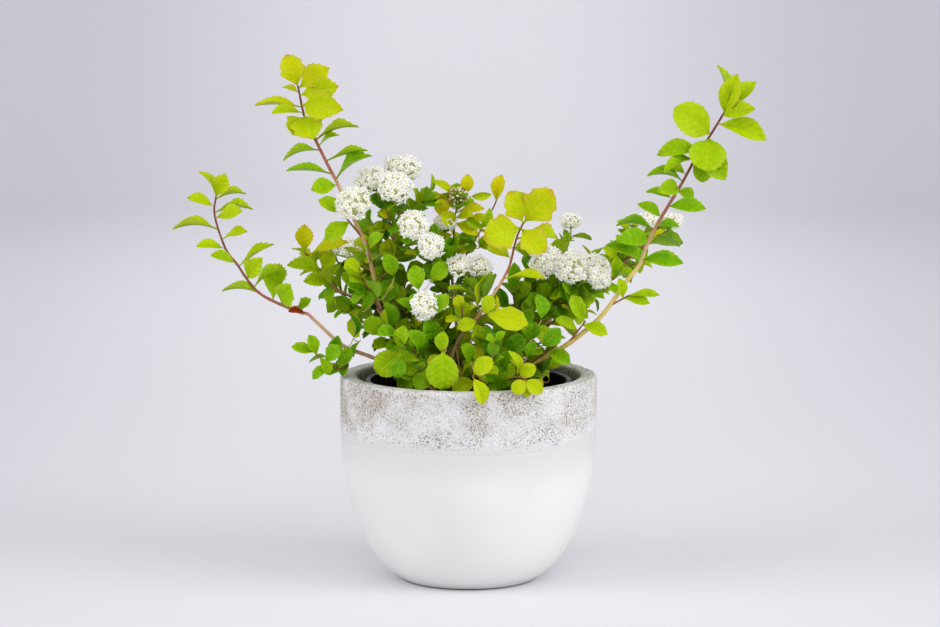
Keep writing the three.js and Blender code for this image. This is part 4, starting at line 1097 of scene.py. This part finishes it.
def stoneware_material():
    """Satin white glaze up to a ragged edge and bare speckled clay above it, painted paler on the +X side,
    where the stronger light falls. The foot is a darker grey: unglazed, and darkened as painted shade where
    it meets the floor.
    """
    made, tree, shader = material("glazed_stoneware")
    place = object_place(tree)
    split = tree.add("ShaderNodeSeparateXYZ", {0: place}).outputs
    across, height = split[0], split[2]
    pattern = use_group(tree, speckle, {"Place": place, "Fineness": 1150.0, "Patch Size": 30.0})
    ragged = noise_value(tree, place, 160.0, 6.0, 0.7)
    cloud = noise_value(tree, place, 9.0, 3.0, 0.5)
    grit = noise_value(tree, place, 780.0, 3.0, 0.62)
    dust = noise_value(tree, place, 1500.0, 2.0, 0.6)

    def up_from_glaze(value, low, high, to_low=0.0, to_high=1.0):
        """A soft step between two heights in mm that are measured from the glaze's edge."""
        return between(tree, value, (GLAZE_EDGE_HEIGHT + low) * MM, (GLAZE_EDGE_HEIGHT + high) * MM,
                       to_low, to_high)

    edge = tree.math("ADD", height, tree.math("MULTIPLY", tree.math("SUBTRACT", ragged, 0.5), 9 * MM))
    bare = up_from_glaze(edge, -1, 5)
    # The foot is a darker grey: unglazed, and darkened as painted shade along the line where the pot meets
    # the floor.
    foot = between(tree, height, 0.4 * MM, 1.6 * MM, 1.0, 0.0)
    lip = between(tree, height, (POT_HEIGHT - 4) * MM, (POT_HEIGHT - 1) * MM, 0.0, 0.55)
    bloom = tree.math("MAXIMUM", up_from_glaze(edge, 3, 17, 0.85, 0.1), lip)

    glaze = mixed(tree, between(tree, cloud, 0.35, 0.65), (0.80, 0.793, 0.775), (0.855, 0.847, 0.83))
    glaze = mixed(tree, up_from_glaze(height, -34, -2, 0.0, 0.85), glaze, (0.71, 0.70, 0.69))
    salt = tree.math("MULTIPLY", between(tree, grit, 0.57, 0.64), up_from_glaze(edge, -4, 1))
    glaze = mixed(tree, tree.math("MULTIPLY", salt, 0.45), glaze, (0.40, 0.39, 0.37))

    clay = ramp(tree, pattern["Patches"], (0.30, (0.50, 0.43, 0.33)), (0.44, (0.64, 0.59, 0.52)),
                (0.55, (0.74, 0.725, 0.70)), (0.70, (0.86, 0.855, 0.87)))
    clay = mixed(tree, bloom, clay, (0.86, 0.855, 0.86))
    # The clay turns paler towards +X, the side the stronger light comes from: a painted highlight.
    clay = mixed(tree, between(tree, across, 0.02, 0.085, 0.0, 0.6), clay, (0.88, 0.865, 0.855))
    clay = mixed(tree, between(tree, pattern["Specks"], 0.30, 0.42, 0.0, 0.6), clay, (0.84, 0.83, 0.82))
    worn = between(tree, pattern["Patches"], 0.62, 0.42, 0.42, 1.0)
    fine_dust = tree.math("MULTIPLY", between(tree, dust, 0.54, 0.62), 0.7)
    dark = tree.math("MULTIPLY", tree.math("MAXIMUM", between(tree, grit, 0.54, 0.62), fine_dust), worn)
    clay = mixed(tree, tree.math("MULTIPLY", dark, 0.92), clay, (0.075, 0.062, 0.045))
    # Near the chip the clay turns almost black: painted shade in the chip's dent.
    chip = tree.vector("DISTANCE", place, Vector(CHIP) * MM)
    clay = mixed(tree, between(tree, chip, 1.0 * MM, 2.6 * MM, 0.85, 0.0), clay, (0.10, 0.085, 0.07))
    color = mixed(tree, foot, mixed(tree, bare, glaze, clay), (0.36, 0.34, 0.31))

    rough = tree.math("MAXIMUM", bare, foot)
    roughness = tree.add("ShaderNodeMapRange", {"Value": rough, "To Min": 0.42, "To Max": 0.92}).outputs[0]
    from_groove = tree.math("ABSOLUTE", tree.math("SUBTRACT", height, (GLAZE_EDGE_HEIGHT - 3) * MM))
    groove = between(tree, from_groove, 0.0, 1.3 * MM, 1.0, 0.0)
    lumps = tree.math("ADD", tree.math("MULTIPLY", pattern["Height"], rough),
                      tree.math("MULTIPLY", cloud, 0.6))
    lumps = tree.math("SUBTRACT", lumps, tree.math("MULTIPLY", groove, 0.55))
    dress(tree, shader, color, roughness, lumps, 0.55, 0.55 * MM)
    return made


# ------------------------------------------------------------------ the pots and the soil


def lathe(name, profile, segments, shift=None):
    """A closed surface turned about +Z from (radius, height) points in mm that start and end on the axis."""
    points, faces, rings = [], [], []
    for radius, height in profile:
        if radius < 1e-6:
            rings.append([len(points)])
            points.append(Vector((0, 0, height)))
            continue
        rings.append(list(range(len(points), len(points) + segments)))
        for i in range(segments):
            point = circle_point(radius, math.tau * i / segments, height)
            points.append(shift(point) if shift else point)
    for low, high in zip(rings, rings[1:]):
        for i in range(segments):
            j = (i + 1) % segments
            if len(low) == 1:
                faces.append((low[0], high[j], high[i]))
            elif len(high) == 1:
                faces.append((low[i], low[j], high[0]))
            else:
                faces.append((low[i], low[j], high[j], high[i]))
    mesh = mesh_from(name, [point * MM for point in points], faces)
    smooth_mesh(mesh)
    return mesh


def bezier(p0, p1, p2, p3, steps):
    """Points after the first along a cubic curve."""
    out = []
    for i in range(1, steps + 1):
        t = i / steps
        out.append(tuple((1 - t) ** 3 * a + 3 * t * (1 - t) ** 2 * b + 3 * t * t * (1 - t) * c + t ** 3 * d
                         for a, b, c, d in zip(p0, p1, p2, p3)))
    return out


def rounded(corner, before, after, steps=5):
    """A round corner from one point to another."""
    return [tuple((1 - t) ** 2 * a + 2 * t * (1 - t) * b + t * t * c
                  for a, b, c in zip(before, corner, after)) for t in [i / steps for i in range(steps + 1)]]


def cover_pot():
    inside = POT_RIM_RADIUS - POT_RIM_WALL
    base, bowl, rim, top = POT_BASE_RADIUS, POT_SHOULDER_HEIGHT, POT_RIM_RADIUS, POT_HEIGHT
    profile = [(0, 0), (base - 12, 0), *rounded((base, 0), (base - 2.2, 0), (base + 2, 2))]
    profile += bezier((base + 2, 2), (base + 0.55 * (rim - base), 0.12 * bowl), (rim, 0.47 * bowl),
                      (rim, bowl), 30)
    profile += [(rim, height) for height in range(int(bowl) + 4, int(top) - 3, 4)]
    profile += rounded((rim, top), (rim, top - 3.2), (rim - 3.6, top))
    profile += [(rim - 5.5, top + 0.05), (inside + 5, top)]
    profile += rounded((inside, top), (inside + 3.4, top), (inside, top - 3.4))
    profile += [(inside, height) for height in (144, 136, 126, 110, 0.8 * bowl)]
    profile += bezier((inside, 0.8 * bowl), (inside, 0.5 * bowl), (rim - POT_WALL - 8, 0.2 * bowl),
                      (NURSERY_BASE_RADIUS + 2, POT_FLOOR), 12)
    profile.append((0, POT_FLOOR))
    chips = [(Vector(CHIP), 3.2, 1.5), (Vector((-60, -73, POT_HEIGHT)), 2.4, 0.7)]

    def hand_made(point):
        """The rim wavers a little, as a thrown pot's does, and has two small chips."""
        high = max(0, (point.z - 90) / 63)
        low = Vector((point.x, point.y, 0)) * 0.02
        wobble = noise.noise(low + Vector((3, 1, point.z * 0.01)))
        out = 1 + 0.0022 * wobble * high
        lift = 0.35 * high ** 6 * noise.noise(low * 1.7 + Vector((9, 4, 2)))
        moved = Vector((point.x * out, point.y * out, point.z + (lift if point.z > 100 else 0)))
        if high > 0.4:
            grit = noise.noise(Vector((point.x, point.y, point.z)) * 0.55)
            moved -= Vector((point.x, point.y, 0)).normalized() * 0.12 * grit
        for centre, size, depth in chips:
            near = (point - centre).length
            if near < size * 2:
                moved -= (Vector((point.x, point.y, 0)).normalized() + Vector((0, 0, 1))) * depth * 0.5 * (
                    math.exp(-(near / size) ** 2))
        moved.z = min(moved.z, POT_HEIGHT + 0.3)
        return moved

    return lathe("cover_pot_stoneware", profile, 240, hand_made)


def nursery_pot():
    """A thin pot with a rolled lip, and drain holes in its floor."""
    lip, floor, foot = NURSERY_LIP_Z, NURSERY_FLOOR_Z, NURSERY_BASE_RADIUS + 0.6
    out = NURSERY_LIP_RADIUS
    wall = out - NURSERY_LIP_OVERHANG
    bore = wall - NURSERY_WALL
    low = lip - NURSERY_LIP_DEPTH
    profile = [(0, floor)]
    profile += rounded((foot - 0.6, floor), (foot - 4.6, floor), (foot, floor + 3))
    profile += [(blend(foot, wall, t), blend(floor + 3, low, t)) for t in (0.2, 0.4, 0.6, 0.8, 0.97)]
    profile += [(wall, low + 0.2), (wall + 1.6, low)]
    profile += rounded((out, low), (out - 1.1, low), (out, low + 1.4), 3)
    profile.append((out, low + 4))
    profile += rounded((out, lip), (out, low + 6.6), (wall + 1.4, lip), 4)
    profile += rounded((bore, lip), (bore + 1.2, lip), (bore, low + 6.6), 4)
    profile.append((bore, low))
    profile += [(blend(bore, foot - 2, t), blend(low, floor + NURSERY_WALL, t)) for t in (0.25, 0.5, 0.75, 1)]
    profile.append((0, floor + NURSERY_WALL))
    piece = link(lathe("nursery_pot_black", profile, 120), "nursery_pot_black")
    drills = bmesh.new()
    for hole in range(DRAIN_HOLES):
        spot = circle_point(DRAIN_CIRCLE_RADIUS, math.tau * hole / DRAIN_HOLES, floor + NURSERY_WALL / 2)
        bmesh.ops.create_cone(
            drills, cap_ends=True, segments=24, radius1=DRAIN_HOLE_RADIUS * MM,
            radius2=DRAIN_HOLE_RADIUS * MM, depth=6 * MM, matrix=Matrix.Translation(spot * MM))
    cutter = link(mesh_of("drain_drills", drills), "drain_drills")
    cut = piece.modifiers.new("drain_holes", "BOOLEAN")
    cut.object, cut.operation, cut.solver = cutter, "DIFFERENCE", "EXACT"
    graph = bpy.context.evaluated_depsgraph_get()
    holed = bpy.data.meshes.new_from_object(piece.evaluated_get(graph), depsgraph=graph)
    neat = bmesh.new()
    neat.from_mesh(holed)
    bmesh.ops.dissolve_degenerate(neat, dist=1e-7, edges=neat.edges)
    bmesh.ops.triangulate(neat, faces=[face for face in neat.faces if len(face.verts) > 4])
    neat.to_mesh(holed)
    neat.free()
    bpy.data.objects.remove(piece)
    bpy.data.objects.remove(cutter)
    return link(holed, "nursery_pot_black")


def soil_height(x, y):
    place = Vector((x, y, 0))
    lumps = noise.noise(place * 0.09) * 1.6 + noise.noise(place * 0.25 + Vector((5, 5, 5))) * 1.0
    return SOIL_Z - SOIL_SAG * (math.hypot(x, y) / 72) ** 2 + lumps


def soil_body():
    """The ball of compost, with a lumpy top that sags towards the pot's wall."""
    floor = NURSERY_FLOOR_Z + NURSERY_WALL + 0.3
    profile = [(0, floor), (NURSERY_BASE_RADIUS - 2, floor)]
    profile += [(SOIL_RADIUS, NURSERY_LIP_Z - NURSERY_LIP_DEPTH), (SOIL_RADIUS, SOIL_Z - 4.2)]
    profile += [(radius, SOIL_Z) for radius in (69, 64, 58, 52, 46, 40, 34, 28, 22, 16, 10, 5, 0)]

    def crumbled(point):
        if point.z < SOIL_Z - 1:
            return point
        return Vector((point.x, point.y, soil_height(point.x, point.y)))

    mesh = lathe("soil_ball", profile, 72, crumbled)
    mesh.vertices[-1].co.z = soil_height(0, 0) * MM
    return mesh


def soil_top(soil):
    """The soil's upper faces by themselves, each with corners of its own."""
    faces = [[soil.vertices[v].co for v in face.vertices] for face in soil.polygons]
    faces = [face for face in faces if min(corner.z for corner in face) > (SOIL_Z - 8) * MM]
    order = iter(range(sum(map(len, faces))))
    return mesh_from("crumb_ground", [corner for face in faces for corner in face],
                     [[next(order) for _ in face] for face in faces])


def crumb_shapes():
    """Compost crumbs, bark chips and short fibres."""
    rng = random.Random(21)
    shapes = []
    for i in range(8):
        build = bmesh.new()
        bmesh.ops.create_icosphere(build, subdivisions=1, radius=1)
        size = Vector(((1.5, 1.1, 0.9), (2.6, 1.2, 0.5), (0.9, 0.8, 0.7), (4.6, 0.3, 0.3))[i % 4]) * MM
        for vertex in build.verts:
            jitter = 1 + rng.uniform(-0.28, 0.28)
            vertex.co = Vector((vertex.co.x * size.x, vertex.co.y * size.y, vertex.co.z * size.z)) * jitter
        shapes.append(mesh_of(f"crumb_{i}", build))
    return shape_collection("crumb", shapes)


# ------------------------------------------------------------------ blossoms


def blossom_shape(name, rng, cup):
    """A five-petalled blossom with a raised middle and a few stamens. It opens towards +Z."""
    points, faces, part = [], [], []
    turns = 20

    def add(x, y, z, value):
        points.append(Vector((x, y, z)) * BLOSSOM_ACROSS / 2 * MM)
        part.append(value)
        return len(points) - 1

    middle, below = add(0, 0, -0.02, 1.0), add(0, 0, -0.45, 0.6)
    outer = []
    for i in range(turns):
        turn = math.tau * (i + 0.3 * (i % 4 == 1) - 0.3 * (i % 4 == 3)) / turns
        reach = (0.6, 0.94, 1.04, 0.94)[i % 4] * rng.uniform(0.95, 1.04)
        lift = cup * reach ** 2 + 0.06 * (i % 4 == 2) + rng.uniform(-0.04, 0.04)
        outer.append(add(*circle_point(reach, turn, lift), 0.0))
    for i in range(turns):
        j = (i + 1) % turns
        faces += [(middle, outer[i], outer[j]), (below, outer[j], outer[i])]
    crown = [add(*circle_point(0.2, math.tau * i / 5, 0.05), 1.0) for i in range(5)]
    peak, floor = add(0, 0, 0.2, 1.0), add(0, 0, -0.1, 1.0)
    for i in range(5):
        j = (i + 1) % 5
        faces += [(peak, crown[i], crown[j]), (floor, crown[j], crown[i])]
    for i in range(3):
        out = circle_point(1, math.tau * (i + rng.uniform(0, 0.6)) / 3)
        side = Vector((-out.y, out.x, 0)) * 0.05
        foot = out * 0.2
        a = add(*(foot + side).xy, 0.08, 1.4)
        b = add(*(foot - side).xy, 0.08, 1.4)
        c = add(*(foot * 1.35).xy, 0.1, 1.4)
        tip = add(*(out * 0.5).xy, 0.36, 2.0)
        faces += [(a, b, tip), (b, c, tip), (c, a, tip), (a, c, b)]
    mesh = mesh_from(name, points, faces)
    store(mesh, "part", "FLOAT", part)
    return mesh


def bud_shape(name, rng):
    build = bmesh.new()
    bmesh.ops.create_uvsphere(build, u_segments=7, v_segments=5, radius=BUD_RADIUS * MM)
    for vertex in build.verts:
        vertex.co.z *= rng.uniform(0.95, 1.1)
    return mesh_of(name, build)


def stalk_shape():
    """A fine stalk from 0 to 1 along +Z, with three sides."""
    ring = [circle_point(0.7, math.tau * i / 3) for i in range(3)]
    points = ring + [point * 1.1 + Vector((0, 0, 1)) for point in ring]
    faces = [(2, 1, 0), (3, 4, 5)] + [(i, (i + 1) % 3, 3 + (i + 1) % 3, 3 + i) for i in range(3)]
    return mesh_from("stalk", points, faces)


def domes(name, heads, depth):
    """One mesh with the bumpy surface of each flower head. Its points know the hub that their head has."""
    rings, sides, lowest, highest = 7, 18, -48, 90
    points, faces, hubs = [], [], []
    for middle, radius, facing in heads:
        up = facing.normalized()
        side = square_to(up, Vector((1, 0.2, 0.1)))
        over = up.cross(side)
        hub = middle - up * radius * 0.75
        start = len(points)
        for ring in range(rings + 1):
            slope = math.radians(lowest + ((highest - lowest) * ring / rings))
            for i in range(sides):
                turn = math.tau * i / sides
                out = side * math.cos(turn) + over * math.sin(turn)
                spot = out * math.cos(slope) + up * math.sin(slope) * depth
                bumps = 1 + 0.28 * noise.noise((middle + spot * radius) * 0.17)
                points.append(above_soil(middle + spot * radius * bumps * 0.94))
                hubs.append(above_soil(hub))
        for ring in range(rings):
            for i in range(sides):
                j = (i + 1) % sides
                a, b = start + ring * sides, start + (ring + 1) * sides
                faces.append((a + i, a + j, b + j, b + i))
    mesh = mesh_from(name, points, faces)
    store(mesh, "hub", "FLOAT_VECTOR", hubs)
    return link(mesh, name)


def hearts(heads):
    """An olive dome in the middle of each flower head, which shows between the blossoms and stands in for the
    shade in the gaps there: painted shade. It also glows a little with the petals' painted light.
    """
    build = bmesh.new()
    for middle, radius, facing in heads:
        turn = facing.to_track_quat("Z", "Y").to_matrix().to_4x4()
        size = Matrix.Diagonal((0.74 * radius, 0.74 * radius, 0.5 * radius, 1 / MM)) * MM
        place = Matrix.Translation(above_soil(middle))
        bmesh.ops.create_icosphere(build, subdivisions=3, radius=1, matrix=place @ turn @ size)
    mesh = mesh_of("head_hearts", build)
    store(mesh, "part", "FLOAT", [0.79 + 0.3 * noise.noise(vertex.co * 230) for vertex in mesh.vertices])
    smooth_mesh(mesh)
    return link(mesh, "head_hearts")


# ------------------------------------------------------------------ making the pieces


def lay_down(piece, paint, slot, *replaced):
    """Gives a piece its body and, unless it has one, its material, and hides the parts of model.glb that it
    stands for. Its slot is not used.
    """
    if paint is not None:
        piece.data.materials.append(paint)
    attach(piece, BODY)
    if replaced:
        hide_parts(*replaced)


def grow(source, tree, name, slot, replaced=(), **inputs):
    """Lays down what a tree makes of a source, which comes with its material."""
    lay_down(grown(source, tree, name, **inputs), None, slot, *replaced)


def stem_lines(name, chosen):
    """Edges along stems, with how thick and how young each point is. Stems swell a little at their nodes."""
    points, edges, thickness, youth = [], [], [], []
    for order, stem in enumerate(chosen):
        steps = max(4, round(stem.length / 3))
        for i in range(steps + 1):
            share = i / steps
            along = share * stem.length
            swell = 0.14 * max(0, math.cos(along * math.tau / (9 + order % 4))) ** 8
            if i:
                edges.append((len(points) - 1, len(points)))
            points.append(above_soil(stem.at(share)))
            thickness.append(0.88 * stem.radius(share) * (1 + swell) * MM)
            youth.append(blend(*stem.youth, share ** 0.7))
    mesh = mesh_from(name, points, edges=edges)
    store(mesh, "thickness", "FLOAT", thickness)
    store(mesh, "youth", "FLOAT", youth)
    return link(mesh, name)


def leaf_seats(name, leaves):
    """A point for each leaf, which knows how the leaf lies."""
    bases, alongs, looks, sizes, tones, kinds = zip(*leaves)
    mesh = mesh_from(name, map(above_soil, bases))
    store(mesh, "along", "FLOAT_VECTOR", alongs)
    store(mesh, "face", "FLOAT_VECTOR", looks)
    store(mesh, "size", "FLOAT_VECTOR", [Vector(size) * MM for size in sizes])
    store(mesh, "tone", "FLOAT", tones)
    store(mesh, "kind", "INT", kinds)
    return link(mesh, name)


def head_dome(head):
    _, _, middle, radius, facing = head
    return Vector(middle), radius, Vector(facing)


lay_down(link(cover_pot(), "cover_pot_stoneware"), stoneware_material(), "glazed_stoneware", "cover_pot")
lay_down(nursery_pot(), plastic_material(), "black_plastic", "nursery_pot")

compost = soil_material()
soil_mesh = soil_body()
store(soil_mesh, "tone", "FLOAT", [0.25] * len(soil_mesh.vertices))
lay_down(link(soil_mesh, "soil_ball"), compost, "potting_soil", "potting_soil")
crumb_scatter = scatter_tree("scattered_crumbs", CRUMB_SPACING * MM, 260000.0)
grow(link(soil_top(soil_mesh), "crumb_ground"), crumb_scatter, "soil_crumbs", "potting_soil",
     Shapes=crumb_shapes(), Seed=8, Smallest=0.45, Largest=1.2, Tilt=0.9, Material=compost)

bark, tubes = bark_material(), stem_tree()
grow(stem_lines("woody_canes", [stems[name] for name in CANES]), tubes, "woody_canes", "bark", CANES,
     Sides=12, Material=bark)
grow(stem_lines("leafy_twigs", [stem for name, stem in stems.items() if name not in CANES] + spurs), tubes,
     "leafy_twigs", "bark", Sides=7, Bark_Relief=0.04 * MM, Material=bark)

blades = blade_tree()
large_shapes = shape_collection("large_leaf", [
    leaf_shape(f"large_leaf_{i}", 17, 4, **shape) for i, shape in enumerate(LARGE_SHAPES)])
small_shapes = shape_collection("small_leaf", [
    leaf_shape(f"small_leaf_{i}", 7, 4, **shape) for i, shape in enumerate(SMALL_SHAPES)])
# Each group of leaves: its shapes, material, slot and the nodes that it stands for.
for group, shapes, paint, slot, replaced in (
        ("leaders", large_shapes, bright_leaf, "bright_leaf",
         [name for name in LEADERS if name != "shoot_gold"]),
        ("gold", large_shapes, golden_leaf, "golden_leaf", ["shoot_gold"]),
        ("side", small_shapes, side_leaf, "green_leaf", SIDE_SHOOTS),
        ("basal", large_shapes, bright_leaf, "bright_leaf", BASAL_SHOOTS),
        ("old", large_shapes, old_leaf, "red_leaf", ["red_leaf"])):
    grow(leaf_seats(f"{group}_seats", leaf_points[group]), blades, f"leaves_{group}", slot, replaced,
         Shapes=shapes, Material=paint)

open_heads, bud_heads = [head_dome(head) for head in FLOWER_HEADS.values()], [head_dome(BUD_HEAD)]
flower_rng = random.Random(31)
blossom_shapes = shape_collection("blossom", [
    blossom_shape(f"blossom_{i}", flower_rng, 0.12 + 0.05 * i) for i in range(7)])
bud_shapes = shape_collection("round_bud", [bud_shape(f"round_bud_{i}", flower_rng) for i in range(7)])
stalk_shapes = shape_collection("stalk", [stalk_shape()])
petal = glowing_petal_material("petal", (0.58, 0.52, 0.10))
# The hearts' olive eye colour stands in for the shade between the blossoms: painted shade.
heart_shade_paint = glowing_petal_material("heart_shade_paint", (0.40, 0.38, 0.17))
bud, green_stalk = bud_material(), stalk_material()

grow(domes("open_domes", open_heads, 0.72), scatter_tree("blossoms", BLOSSOM_SPACING * MM, 300000.0),
     "blossoms", "petal", FLOWER_HEADS, Shapes=blossom_shapes, Smallest=0.85, Largest=1.15, Tilt=0.2,
     Material=petal)
grow(domes("bud_domes", bud_heads, 0.8), scatter_tree("buds", BUD_SPACING * MM, 600000.0),
     "flower_buds", "bud", ["bud_head"], Shapes=bud_shapes, Smallest=0.8, Largest=1.2, Tilt=0.2, Material=bud)
# The hearts: olive domes under the blossoms, as painted shade in the gaps between them.
lay_down(hearts(open_heads), heart_shade_paint, "petal")
grow(domes("stalk_domes", open_heads + bud_heads, 0.7), stalk_tree(), "blossom_stalks", "green_leaf",
     Shapes=stalk_shapes, Material=green_stalk)
grow(stem_lines("head_stalks", peduncles), tubes, "head_stalks", "green_leaf", Sides=7,
     Bark_Relief=0.03 * MM, Material=green_stalk)

# ------------------------------------------------------------------ floor, light and camera


def backdrop():
    """A pale round floor that sweeps up all round, and that lets a view from outside pass through."""
    line = [(0.0, 0.0), (0.4, 0.0), (1.2, 0.0), (2.8, 0.0)]
    line += [(2.8 + 1.2 * math.sin(t), 1.2 - 1.2 * math.cos(t))
             for t in [math.pi / 2 * i / 14 for i in range(1, 15)]]
    line.append((4.0, 1.5))
    segments = 96
    points = [circle_point(radius, math.tau * i / segments, height)
              for radius, height in line[1:] for i in range(segments)] + [(0, 0, 0)]
    faces = [(len(points) - 1, i, (i + 1) % segments) for i in range(segments)]
    for ring in range(len(line) - 2):
        for i in range(segments):
            a, b = ring * segments + i, ring * segments + (i + 1) % segments
            faces.append((a, a + segments, b + segments, b))
    mesh = mesh_from("backdrop", points, faces)
    smooth_mesh(mesh)
    made, tree, shader = material("pale_paper")
    across = tree.add("ShaderNodeSeparateXYZ", {0: object_place(tree)}).outputs[0]
    # The paper darkens towards its sides in X: a painted falloff of light.
    edge = between(tree, tree.math("ABSOLUTE", across), 0.1, 0.75)
    tree.feed(shader, {"Base Color": mixed(tree, edge, (0.80, 0.795, 0.825), (0.64, 0.63, 0.68)),
                       "Roughness": 0.9})
    clear = tree.add("ShaderNodeBsdfTransparent")
    behind = tree.add("ShaderNodeNewGeometry").outputs["Backfacing"]
    either = tree.add("ShaderNodeMixShader", {0: behind, 1: shader.outputs[0], 2: clear.outputs[0]})
    output = next(node for node in made.node_tree.nodes if node.type == "OUTPUT_MATERIAL")
    tree.join(either.outputs[0], output.inputs["Surface"])
    mesh.materials.append(made)
    return link(mesh, "backdrop")


backdrop()


def soft_light(name, place, target, size, power):
    light = bpy.data.lights.new(name, "AREA")
    light.shape, light.size, light.energy = "SQUARE", size, power
    lamp = bpy.data.objects.new(name, light)
    bpy.context.scene.collection.objects.link(lamp)
    lamp.location = place
    lamp.visible_camera = False
    lamp.rotation_euler = (Vector(target) - Vector(place)).to_track_quat("-Z", "Y").to_euler()


soft_light("right_softbox", (1.9, -1.0, 1.2), (0, 0, 0.2), 1.6, 23.5)
soft_light("left_softbox", (-2.0, -0.9, 1.2), (0, 0, 0.2), 1.6, 19)
soft_light("front_softbox", (0.2, -2.3, 1.9), (0, 0, 0.15), 1.6, 9)
soft_light("wall_softbox", (-0.1, 1.7, 2.0), (-0.1, 3.4, 0.3), 1.5, 12.5)

world = bpy.data.worlds.new("studio")
world.use_nodes = True
world.node_tree.nodes["Background"].inputs["Color"].default_value = (0.97, 0.97, 1.0, 1)
world.node_tree.nodes["Background"].inputs["Strength"].default_value = 0.53
bpy.context.scene.world = world
bpy.context.scene.view_settings.view_transform = "Standard"
bpy.context.scene.view_settings.look = "Medium High Contrast"

camera_data = bpy.data.cameras.new("camera")
camera_data.lens, camera_data.sensor_width = 120, 36
camera = bpy.data.objects.new("camera", camera_data)
bpy.context.scene.collection.objects.link(camera)
camera.location = (0.0011, -2.3, 0.5048)
camera.rotation_euler = (math.radians(90 - 7.6), 0, 0)
bpy.context.scene.camera = camera
